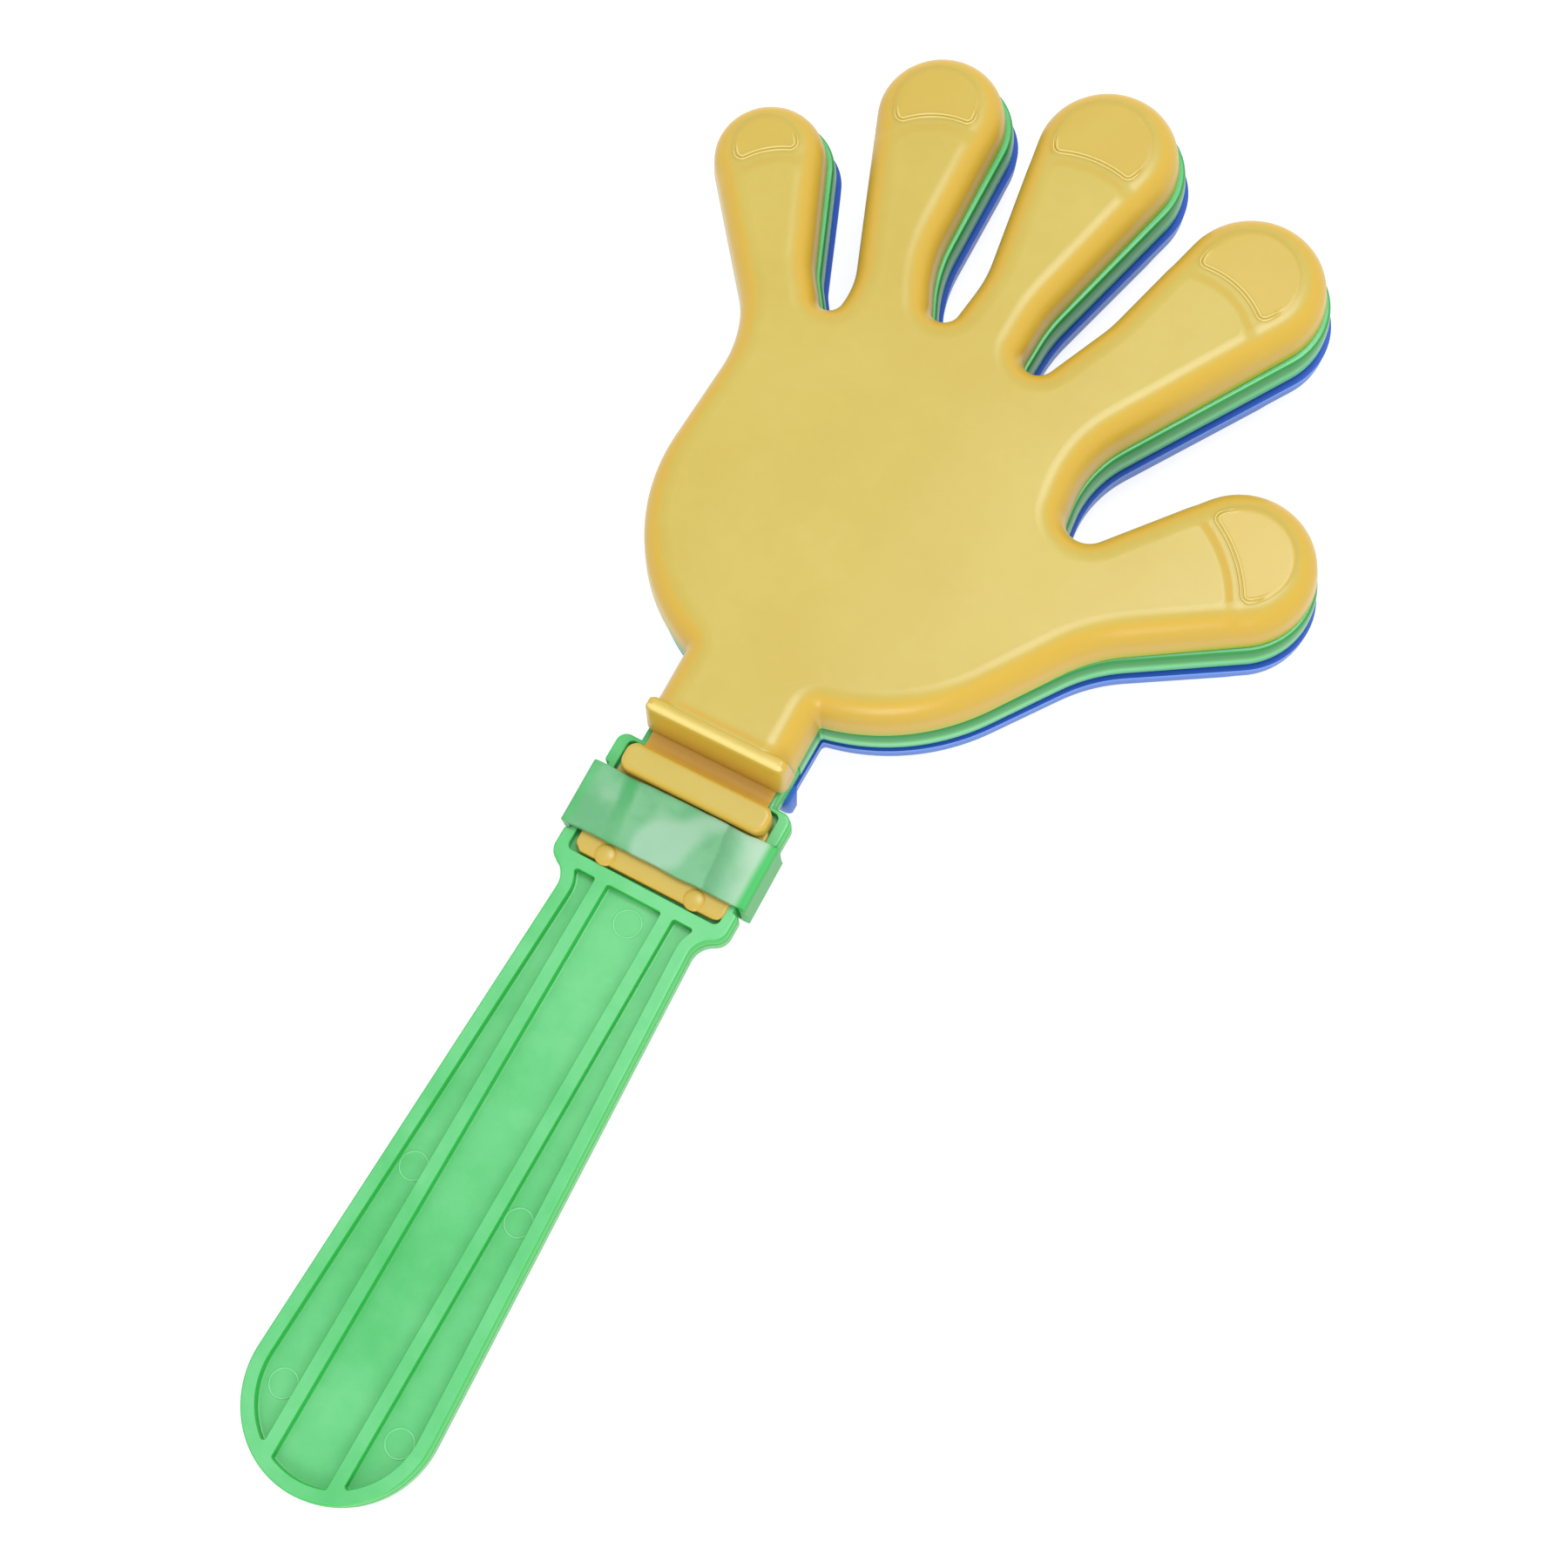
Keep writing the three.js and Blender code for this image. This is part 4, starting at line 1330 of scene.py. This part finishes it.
    def shape_face(self, bm: BMesh) -> None:
        """Lowers the fingertips, raises the fillet up to the rib, and marks painted shade on the flat face's
        fillet and on the steps where the pads end.

        Args:
            bm: the shell's mesh.
        """
        layer = raised_layer(bm)
        outer = bm.verts.layers.float[OUTER]
        nails = HAND.nails()
        for vert in bm.verts:
            x, y, z = vert.co
            if z > self.face_z - SAME_POINT:
                # Painted shade in the fillet before the rib and on the steps where the pads end
                width = self.fillet_shade_width
                fillet_shade = self.fillet_shade * bell(y - self.fillet_y - width, width)
                vert[layer] = -max(fillet_shade, *[nail.step_shade_at(x, y) for nail in nails])
            share = vert[outer] * max(0.0, z - self.rim_z) / self.depth
            drop = sum(nail.lowered(x, y) for nail in nails)
            rise = max(0.0, min(1.0, (self.fillet_y + self.fillet_length - y) / self.fillet_length))
            vert.co.z += share * (self.rib_proud * self.fillet_rise * rise ** 2 - drop)
        bm.verts.layers.float.remove(outer)

    def rib(self, bm: BMesh) -> None:
        """The cross rib at the foot of the hand, which tapers to a round crest.

        Args:
            bm: the mesh of the hand.
        """
        crest = self.face_z + self.rib_proud
        belt = rounded_rectangle(self.rib_half_length, self.rib_back_y, self.rib_front_y, self.rib_corner)
        middle, half = (self.rib_back_y + self.rib_front_y) / 2, (self.rib_back_y - self.rib_front_y) / 2

        def section(z: float, drawn_in: float) -> Ring:
            """The rib's outline at a height, tapered.

            Args:
                z: the height.
                drawn_in: how far it is drawn in.

            Returns:
                Its points.
            """
            rise = self.rib_taper * (z - self.strip_bottom) / (crest - self.strip_bottom)
            ring = belt.ring(drawn_in, z)
            for point in ring:
                point.x *= 1 - self.rib_end_taper * rise / self.rib_half_length
                point.y = middle + (point.y - middle) * (1 - rise / half)
            return ring

        def mark(point: Vector) -> float:
            """A painted highlight along the front of the crest, and painted shade towards the root.

            Args:
                point: a point of the rib.

            Returns:
                Its mark.
            """
            high, low = self.crest_light
            ridge = smooth_step(crest - high, crest - low, point.z)
            ridge *= smooth_step(middle, middle - self.crest_light_run, point.y)
            return ridge if ridge > 0 else self.rib_root_shade * smooth_step(crest, self.strip_bottom, point.z)

        rings = [section(self.strip_bottom + rise, drawn_in) for drawn_in, rise in self.rib_root]
        for k in range(self.rib_facets + 1):
            angle = math.pi / 2 * k / self.rib_facets
            below, drawn_in = self.rib_edge * (1 - math.sin(angle)), self.rib_edge * (1 - math.cos(angle))
            rings.append(section(crest - below, drawn_in))
        add_marked(bm, solid, rings, mark)

    def strip(self, bm: BMesh) -> None:
        """The thin strip that bends, let into the rib and the clamp bar at its ends.

        Args:
            bm: the mesh that it is added to.
        """
        start, end = self.rib_front_y + self.let_in_rib, self.bar_front_y - self.let_in_bar
        top, low = self.strip_bottom + self.strip_thickness, self.strip_bottom
        section: list[tuple[float, float]] = []
        for k in range(self.strip_steps + 1):
            y = start + (end - start) * k / self.strip_steps
            waist = max(0.0, 1 - ((y - (start + end) / 2) / self.necking_reach) ** 2)
            section.append((y, top - self.strip_necking * waist))
        loop = section + [(y, low) for y, _ in reversed(section)]
        rings = []
        for k in range(self.strip_rows + 1):
            x = self.strip_half_width * (2 * k / self.strip_rows - 1)
            rings.append([Vector((x, y, z)) for y, z in loop])
        # The whole strip takes the deep tone: painted shade where it lies low between the rib and the clamp
        # bar
        add_marked(bm, solid, rings, lambda _: DEEP_MARK)

    def foot(self, bm: BMesh) -> None:
        """The clamp bar, the plate under the sleeve with its ragged tail, and the two peg heads.

        Args:
            bm: the mesh that they are added to.
        """
        bar = rounded_rectangle(
            self.bar_half_width, self.bar_front_y, self.bar_front_y - self.bar_length, self.bar_corner,
        )
        bar_top = self.foot_bottom + self.bar_height
        profile = edge_profile(self.foot_bottom, bar_top, 0, self.bar_edge, self.bar_facets)
        add_marked(bm, solid, [bar.ring(inset, z) for inset, z in profile], lambda _: self.bar_tone)
        plate_start_y = self.bar_front_y - self.bar_length / 2
        plate = rounded_rectangle(self.plate_half_width, plate_start_y, self.plate_end_y, self.plate_corner)
        top = self.foot_bottom + self.plate_thickness
        profile = edge_profile(self.foot_bottom, top, 0, self.plate_edge, self.plate_facets)
        rings = [self.ragged(plate.ring(inset, z)) for inset, z in profile]
        add_marked(bm, solid, rings, lambda _: self.plate_tone)
        heads = [(1.0, self.foot_bottom + self.peg_sunk)]
        heads += [(share, top + rise) for share, rise in self.peg_dome]
        for side in (-1, 1):
            x, y = side * self.peg_spacing / 2, self.plate_end_y + self.peg_inset
            rings = [circle(x, y, self.peg_radius * share, z) for share, z in heads]
            add_marked(bm, solid, rings, lambda _: self.plate_tone)

    def ragged(self, ring: Ring) -> Ring:
        """Roughens the tail of the plate.

        Args:
            ring: the plate's points at one height.

        Returns:
            The same points, moved along the handle.
        """
        for point in ring:
            seed = self.rag_seed * self.side.value
            rag = noise.noise(Vector((point.x * self.rag_scale[0], point.z * self.rag_scale[1], seed)))
            point.y += smooth_step(*self.tail, point.y) * (self.rag_height * rag + self.rag_reach)
        return ring

    def build(self) -> list[bpy.types.Object]:
        """Builds the three pieces, dresses them, and hangs each on its body.

        Returns:
            The hand, the bending strip and the foot.
        """
        material = self.finish.material()
        bm = bmesh.new()
        self.shell(bm)
        self.rib(bm)
        for nail in HAND.nails():
            nail.build(bm, self.face_z)
        hand = finished(f"{self.label}_hand_shell", bm, self.placement)
        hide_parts(f"{self.label}_palm")
        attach(hand, self.body)

        bm = bmesh.new()
        self.strip(bm)
        strip = finished(f"{self.label}_hinge_strip", bm, self.placement)
        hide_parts(f"{self.label}_living_hinge")
        matrix = self.placement.matrix()
        middle = self.strip_bottom + self.strip_thickness / 2
        start = matrix @ Vector((0, self.rib_front_y - SEAT_GAP, middle))
        end = matrix @ Vector((0, self.bar_front_y + SEAT_GAP, middle))
        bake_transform(strip, self.body, "grip", start=tuple(start), end=tuple(end))

        bm = bmesh.new()
        self.foot(bm)
        foot = finished(f"{self.label}_foot_and_clamp_bar", bm, self.placement)
        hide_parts(f"{self.label}_hinge_foot")
        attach(foot, "grip")
        pieces = [hand, strip, foot]
        for piece in pieces:
            piece.data.materials.append(material)
        return pieces


# Handle

@dataclass
class HandleMoulding:
    """The middle hand, the neck, the head and the grip, one moulding.

    A light or a shade of the middle hand is a span of heights over which its mark comes in, and a share.
    """

    placement: Placement
    finish: PlasticFinish
    slab_top: float = 2.7
    hand_top: float = 3.3
    hand_wall: Profile = (
        (1.0, 3.3), (0.6, 3.28), (0.42, 3.2), (0.31, 3.06), (0.16, 2.5), (0.07, 1.4), (0.02, 0.4), (0.0, 0.1),
    )
    rim_width: float = 2.2
    rim_bevel: tuple[float, float] = (0.08, 0.12)
    plate_top: float = 0.9
    tray_lean: float = 0.21
    tray_margin: float = 0.3
    # Painted shade on the upper wall under the front hand, ending at its rim, and painted light on the lower
    # wall and its lower edge
    front_shade: tuple[float, float] = (0.3, 1.5)
    front_rim: tuple[float, float] = (3.3, 3.22)
    back_light: tuple[float, float] = (0.5, -0.3)
    back_light_share: float = 0.6
    back_rim: tuple[float, float] = (-2.4, -2.9)
    back_rim_share: float = 0.2
    hand_end_y: float = -44.0
    tray_end_y: float = -41.0
    slab_end_y: float = -42.5
    neck_half_width: float = 13.1
    recess_half_width: float = 14.98
    recess_start_y: float = -53.2
    recess_end_y: float = -75.3
    recess_corner: float = 1.2
    recess_lip: float = 0.1
    recess_floor: float = 1.0
    recess_foot: Profile = ((0.11, 0.0), (0.4, 0.0))
    ear_half_width: float = 17.1
    ear_top_y: float = -52.5
    ear_top_corner: float = 2.0
    ear_edge_corner: float = 0.8
    waist_half_width: float = 16.18
    waist_start_y: float = -58.8
    waist_end_y: float = -71.8
    lower_ear_end_y: float = -78.2
    lower_ear_corner: float = 3.0
    blend: float = 4.2
    grip_half_width: float = 13.0
    end_radius: float = 16.85
    end_y: float = -189.2
    # The slab's side: its parting line as inset and height, and its edge as inset and depth below the top
    parting_line: Profile = ((-0.1, 0.0), (-0.1, 0.1), (0.0, 0.22))
    slab_edge: Profile = ((0.0, 0.33), (0.07, 0.13), (0.2, 0.04), (0.33, 0.0), (0.58, 0.0))
    grip_rim: float = 2.35
    pocket_top_y: float = -77.5
    pocket_floor: float = 0.8
    pocket_corner: float = 0.6
    pocket_lip: float = 0.08
    pocket_foot: Profile = ((0.12, 0.16), (0.17, 0.05), (0.27, 0.0), (0.5, 0.0))
    # How far above the pockets the slab's face is quartered
    quarter_gap: float = 1.1
    rib_middle: float = 6.5
    rib_half_width: float = 1.1
    ejector_marks: tuple[tuple[float, float], ...] = (
        (0.8, -81.7), (-10.0, -134.4), (10.4, -134.1), (-10.3, -175.0), (11.6, -173.9),
    )
    # The ejector's ring, as radii and heights above the pocket's floor
    ejector_ring: Profile = (
        (2.2, -0.3), (2.25, -0.01), (2.34, 0.08), (2.45, 0.11), (2.56, 0.08), (2.65, -0.01), (2.7, -0.3),
    )
    # A painted highlight on the top of each ejector ring
    ejector_light: float = 0.8
    ejector_light_rise: float = 0.1

    def side_arcs(self) -> list[Arc]:
        """The slab's right side.

        Returns:
            Its rounds, from the grip up to the neck.
        """
        edge, top, lower = self.ear_edge_corner, self.ear_top_corner, self.lower_ear_corner
        lobe = Arc(self.ear_half_width - lower, self.lower_ear_end_y + lower, lower)
        blend_x = self.grip_half_width + self.blend
        blend_y = lobe.y - math.sqrt((self.blend + lower) ** 2 - (blend_x - lobe.x) ** 2)
        return [
            Arc(blend_x, blend_y, -self.blend),
            lobe,
            Arc(self.ear_half_width - edge, self.waist_end_y - edge, edge),
            Arc(self.waist_half_width, self.waist_end_y),
            Arc(self.waist_half_width, self.waist_start_y),
            Arc(self.ear_half_width - edge, self.waist_start_y + edge, edge),
            Arc(self.ear_half_width - top, self.ear_top_y - top, top),
            Arc(self.neck_half_width, self.ear_top_y),
            Arc(self.neck_half_width, self.slab_end_y),
        ]

    def end_arc(self) -> Arc:
        """The grip's round end."""
        return Arc(0, self.end_y + self.end_radius, self.end_radius)

    def slab_belt(self) -> Belt:
        """The slab's whole outline."""
        right = self.side_arcs()
        return Belt((*[arc.flipped() for arc in reversed(right)], self.end_arc(), *right))

    def middle_hand(self, bm: BMesh) -> None:
        """The plate with a raised rim on both sides, with painted shade in front and painted light behind.

        Args:
            bm: the mesh of the handle.
        """
        foot, (bevel, drop) = self.rim_width + self.tray_lean, self.rim_bevel
        tray = [(foot + self.tray_margin, self.plate_top), (foot, self.plate_top),
                (self.rim_width, self.hand_top - drop), (self.rim_width - bevel, self.hand_top)]
        rings = [HAND.ring(inset, z, self.tray_end_y) for inset, z in tray]
        rings += [HAND.ring(inset, z, self.hand_end_y) for inset, z in self.hand_wall]
        rings += [HAND.ring(inset, -z, self.hand_end_y) for inset, z in reversed(self.hand_wall)]
        rings += [HAND.ring(inset, -z, self.tray_end_y) for inset, z in reversed(tray)]

        def mark(point: Vector) -> float:
            """Painted shade below the front hand, and painted light from the floor behind.

            Args:
                point: a point of the middle hand.

            Returns:
                Its mark.
            """
            shade = smooth_step(*self.front_shade, point.z) * smooth_step(*self.front_rim, point.z)
            light = self.back_light_share * smooth_step(*self.back_light, point.z)
            return light + self.back_rim_share * smooth_step(*self.back_rim, point.z) - shade

        add_marked(bm, solid, rings, mark)

    def pocket_belts(self) -> list[Belt]:
        """The grip's three pockets, which follow the slab's own outline inside its rim.

        Returns:
            Their outlines: the middle one, the right one and the left one.
        """
        blend, end = self.side_arcs()[0], self.end_arc()
        reach, hollow = end.radius - self.grip_rim, -blend.radius + self.grip_rim
        corner, rib = self.pocket_corner, self.rib_half_width
        top = self.pocket_top_y - corner
        inner, outer = self.rib_middle - rib - corner, self.rib_middle + rib + corner
        far_x = blend.x - math.sqrt((hollow + corner) ** 2 - (top - blend.y) ** 2)
        low = [Arc(x, end.y - math.sqrt((reach - corner) ** 2 - x ** 2), corner) for x in (inner, outer)]
        round_end = Arc(end.x, end.y, reach)
        middle = (low[0], Arc(inner, top, corner), Arc(-inner, top, corner), low[0].flipped(), round_end)
        side = Arc(blend.x, blend.y, -hollow)
        right = (Arc(outer, top, corner), low[1], round_end, side, Arc(far_x, top, corner))
        left = tuple(arc.flipped() for arc in reversed(right))
        return [Belt(arcs, closed=True) for arcs in (middle, right, left)]

    def openings(self, bm: BMesh) -> list[list[BMEdge]]:
        """The recess for the foot and the three pockets of the grip, in the front of the slab.

        Args:
            bm: the slab's mesh.

        Returns:
            The edges round each mouth.
        """
        recess = rounded_rectangle(
            self.recess_half_width, self.recess_start_y, self.recess_end_y, self.recess_corner,
        )
        shapes = [(recess, self.recess_lip, self.recess_floor, self.recess_foot)]
        for belt in self.pocket_belts():
            shapes.append((belt, self.pocket_lip, self.pocket_floor, self.pocket_foot))
        mouths: list[list[BMEdge]] = []
        for belt, lip, floor, foot in shapes:
            levels = [(0, self.slab_top), (lip, self.slab_top - lip)]
            levels += [(inset, floor + rise) for inset, rise in foot]
            rings = [belt.ring(*level) for level in levels]
            skin = Skin(bm, rings[0])
            mouths.append(skin.first)
            skin.grow_all(rings[1:]).cap()
        return mouths

    def slab(self, bm: BMesh) -> None:
        """Neck, head and grip: the front half from the parting line up, then its mirror image.

        Args:
            bm: the mesh that they start.
        """
        belt = self.slab_belt()
        levels = [*self.parting_line, *[(inset, self.slab_top - depth) for inset, depth in self.slab_edge]]
        rings = [belt.ring(*level) for level in levels]
        skin = Skin(bm, rings[0]).grow_all(rings[1:])
        self.pierced_cap(bm, skin.edges)
        for x, y in self.ejector_marks:
            self.ejector_mark(bm, x, y)
        whole = [*bm.verts, *bm.edges, *bm.faces]
        bmesh.ops.mirror(bm, geom=whole, axis="Z", merge_dist=SAME_POINT)

    def pierced_cap(self, bm: BMesh, rim: list[BMEdge]) -> None:
        """Closes the slab's front with a flat face, quartered so that each part is filled round one mouth.

        Args:
            bm: the slab's mesh.
            rim: the edges that the slab's side ends in.
        """
        cap = bmesh.ops.contextual_create(bm, geom=rim)["faces"]
        plates = slice_faces(bm, cap, Vector((0, self.pocket_top_y + self.quarter_gap, 0)), Vector((0, 1, 0)))
        for x in (-self.rib_middle, self.rib_middle):
            head = [f for f in plates if f.calc_center_bounds().y > self.pocket_top_y]
            grip = [f for f in plates if f not in head]
            plates = head + slice_faces(bm, grip, Vector((x, 0, 0)), Vector((1, 0, 0)))
        outlines = [(f.calc_center_bounds(), list(f.edges)) for f in plates]
        bmesh.ops.delete(bm, geom=plates, context="FACES_ONLY")
        for mouth in self.openings(bm):
            middle = sum((e.verts[0].co for e in mouth), Vector()) / len(mouth)
            centre, outline = min(outlines, key=lambda found: (found[0] - middle).length)
            bmesh.ops.triangle_fill(
                bm, use_beauty=True, use_dissolve=False, normal=Vector((0, 0, -1)), edges=outline + mouth,
            )

    def ejector_mark(self, bm: BMesh, x: float, y: float) -> None:
        """The faint round line that an ejector pin left on a pocket's floor.

        Args:
            bm: the slab's mesh.
            x: the pin's place along X.
            y: its place along Y.
        """
        rings = [circle(x, y, radius, self.pocket_floor + rise) for radius, rise in self.ejector_ring]
        low, high = self.pocket_floor, self.pocket_floor + self.ejector_light_rise
        # Painted highlight on the ring's top
        add_marked(bm, hoop, rings, lambda point: self.ejector_light * smooth_step(low, high, point.z))

    def build(self) -> list[bpy.types.Object]:
        """Builds the moulding and dresses it.

        Returns:
            The one piece.
        """
        bm = bmesh.new()
        self.slab(bm)
        self.middle_hand(bm)
        piece = finished("handle_and_middle_hand", bm, self.placement)
        piece.data.materials.append(self.finish.material())
        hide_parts("handle")
        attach(piece, "grip")
        return [piece]


# Sleeve

@dataclass
class ClaspSleeve:
    """The band that is pushed over the head and holds both feet."""

    placement: Placement
    finish: SleeveFinish
    middle_y: float = SLEEVE_MIDDLE_Y
    length: float = 12.0
    half_width: float = 18.08
    half_height: float = 4.5
    inner_half_width: float = 16.58
    inner_half_height: float = 3.3
    corner: float = 0.7
    # The cut end's edge, as how far it is drawn in and how far it lies back from the end
    cut_edge: Profile = ((0.15, 0.0), (0.05, 0.05), (0.0, 0.15))
    half_stations: int = 8
    inner_stations: tuple[float, ...] = (-1.0, -0.5, 0.0, 0.5, 1.0)
    # The uneven cut: the run from the end that it takes in, a slow wave and smaller nicks
    cut_run: float = 1.5
    wave_scale: tuple[float, float] = (0.16, 0.3)
    wave_height: float = 0.3
    nick_scale: float = 0.9
    nick_seed: float = 9.0
    nick_height: float = 0.072

    def build(self) -> list[bpy.types.Object]:
        """Builds the band with its cut, slightly uneven ends.

        Returns:
            The one piece.
        """
        bm = bmesh.new()
        belt = rounded_rectangle(self.half_width, self.half_height, -self.half_height, self.corner)
        section = belt.ring(0, 0)
        half = self.length / 2
        cut = [(drawn_in, half - back) for drawn_in, back in self.cut_edge]
        plain = cut[-1][1]
        middle = [(0.0, plain * (1 - k / self.half_stations)) for k in range(1, 2 * self.half_stations)]
        outside = cut + middle + [(drawn_in, -y) for drawn_in, y in reversed(cut)]
        rings = []
        for inset, y in outside:
            rings.append(self.station(section, self.half_width - inset, self.half_height - inset, y))
        for share in self.inner_stations:
            rings.append(self.station(section, self.inner_half_width, self.inner_half_height, half * share))
        hoop(bm, rings)
        piece = finished("clasp_sleeve_band", bm, self.placement)
        piece.data.materials.append(self.finish.material())
        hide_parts("clasp_sleeve")
        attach(piece, "grip")
        return [piece]

    def station(self, section: Ring, half_width: float, half_height: float, y: float) -> Ring:
        """The section's points at one place along the sleeve.

        Args:
            section: the outer section, in x and y.
            half_width: half the width that it gets.
            half_height: half the height that it gets.
            y: where it lies, from the sleeve's middle.

        Returns:
            The ring, with its end cut a little unevenly.
        """
        wide, high = half_width / self.half_width, half_height / self.half_height
        near_end = smooth_step(self.length / 2 - self.cut_run, self.length / 2, abs(y))
        ring = []
        for point in section:
            slow = Vector((point.x * self.wave_scale[0], point.y * self.wave_scale[1], y))
            quick = Vector((point.x * self.nick_scale, point.y, y + self.nick_seed))
            uneven = self.wave_height * noise.noise(slow) + self.nick_height * noise.noise(quick)
            ring.append(Vector((point.x * wide, self.middle_y + y + uneven * near_end, point.y * high)))
        return ring


# Studio

@dataclass(frozen=True)
class Softbox:
    """A square soft light that looks at the clapper."""

    name: str
    place: tuple[float, float, float]
    size: float
    power: float

    def build(self, target: Vector) -> None:
        """Adds the light.

        Args:
            target: the place that it is turned to.
        """
        lamp = bpy.data.lights.new(self.name, "AREA")
        lamp.shape, lamp.size, lamp.energy = "SQUARE", self.size, self.power
        light = bpy.data.objects.new(self.name, lamp)
        light.location = self.place
        light.rotation_euler = (target - Vector(self.place)).to_track_quat("-Z", "Y").to_euler()
        bpy.context.scene.collection.objects.link(light)


@dataclass
class Studio:
    """A plain pale floor that glows a little, soft lights, and a camera at the photograph's viewing angle."""

    floor_z: float = -0.0007
    floor_size: float = 6.0
    floor_tone: float = 0.25
    floor_glow: float = 0.85
    floor_roughness: float = 0.9
    floor_specular: float = 0.2
    camera_place: Vector = field(default_factory=lambda: Vector((0.11295, -0.14981, 0.45405)))
    camera_target: Vector = field(default_factory=lambda: Vector((0.01205, -0.04742, 0.0116)))
    camera_up: Vector = field(default_factory=lambda: Vector((-0.4427, 0.8429, 0.2969)))
    lens: float = 62.14
    sensor: float = 36.0
    near_clip: float = 0.01
    lights: tuple[Softbox, ...] = (
        Softbox("overhead softbox", (0.135, 0.315, 1.1), size=0.5, power=7.0),
        Softbox("low softbox", (0.42, -0.80, 0.46), size=0.35, power=2.5),
    )

    def floor(self) -> None:
        """A pale floor just under the back hand."""
        bm = bmesh.new()
        bmesh.ops.create_grid(bm, x_segments=1, y_segments=1, size=self.floor_size / 2)
        bmesh.ops.translate(bm, vec=(0, 0, self.floor_z), verts=bm.verts)
        mesh = bpy.data.meshes.new("floor")
        bm.to_mesh(mesh)
        bm.free()
        floor = bpy.data.objects.new("floor", mesh)
        bpy.context.scene.collection.objects.link(floor)
        material = bpy.data.materials.new("pale floor")
        material.use_nodes = True
        shader = material.node_tree.nodes["Principled BSDF"]
        shader.inputs["Base Color"].default_value = (self.floor_tone, self.floor_tone, self.floor_tone, 1)
        shader.inputs["Emission Color"].default_value = (1, 1, 1, 1)
        shader.inputs["Emission Strength"].default_value = self.floor_glow
        shader.inputs["Roughness"].default_value = self.floor_roughness
        shader.inputs["Specular IOR Level"].default_value = self.floor_specular
        mesh.materials.append(material)

    def camera(self) -> None:
        """The camera, rolled as the photograph is."""
        data = bpy.data.cameras.new("camera")
        data.lens, data.sensor_width = self.lens, self.sensor
        data.clip_start = self.near_clip
        camera = bpy.data.objects.new("camera", data)
        forward = (self.camera_target - self.camera_place).normalized()
        right = forward.cross(self.camera_up).normalized()
        up = right.cross(forward)
        turn = Matrix((right, up, -forward)).transposed().to_4x4()
        camera.matrix_world = Matrix.Translation(self.camera_place) @ turn
        bpy.context.scene.collection.objects.link(camera)
        bpy.context.scene.camera = camera

    def build(self) -> None:
        """Sets the whole studio up."""
        self.floor()
        self.camera()
        for light in self.lights:
            light.build(self.camera_target)
        world = bpy.data.worlds.new("studio")
        bpy.context.scene.world = world
        world.use_nodes = True
        background = world.node_tree.nodes["Background"]
        background.inputs["Color"].default_value = (1, 1, 1, 1)
        background.inputs["Strength"].default_value = 1.0
        bpy.context.scene.view_settings.view_transform = "Standard"


def main() -> None:
    """Builds the clapper and its studio, and reports each piece."""
    logging.basicConfig(level=logging.INFO, format="%(message)s")
    assemblies = (
        HandleMoulding(Placement(), GREEN),
        HandMoulding(Side.FRONT, Placement(skew=0.76, shift=Vector((0.25, 0, 0))), YELLOW),
        HandMoulding(Side.BACK, Placement(skew=-0.37, side=Side.BACK), BLUE),
        ClaspSleeve(Placement(skew=1.0, centre_y=SLEEVE_MIDDLE_Y), PALE_GREEN),
    )
    for assembly in assemblies:
        for piece in assembly.build():
            log.info("%s: %d faces", piece.name, len(piece.data.polygons))
    Studio().build()


if __name__ == "__main__":
    main()
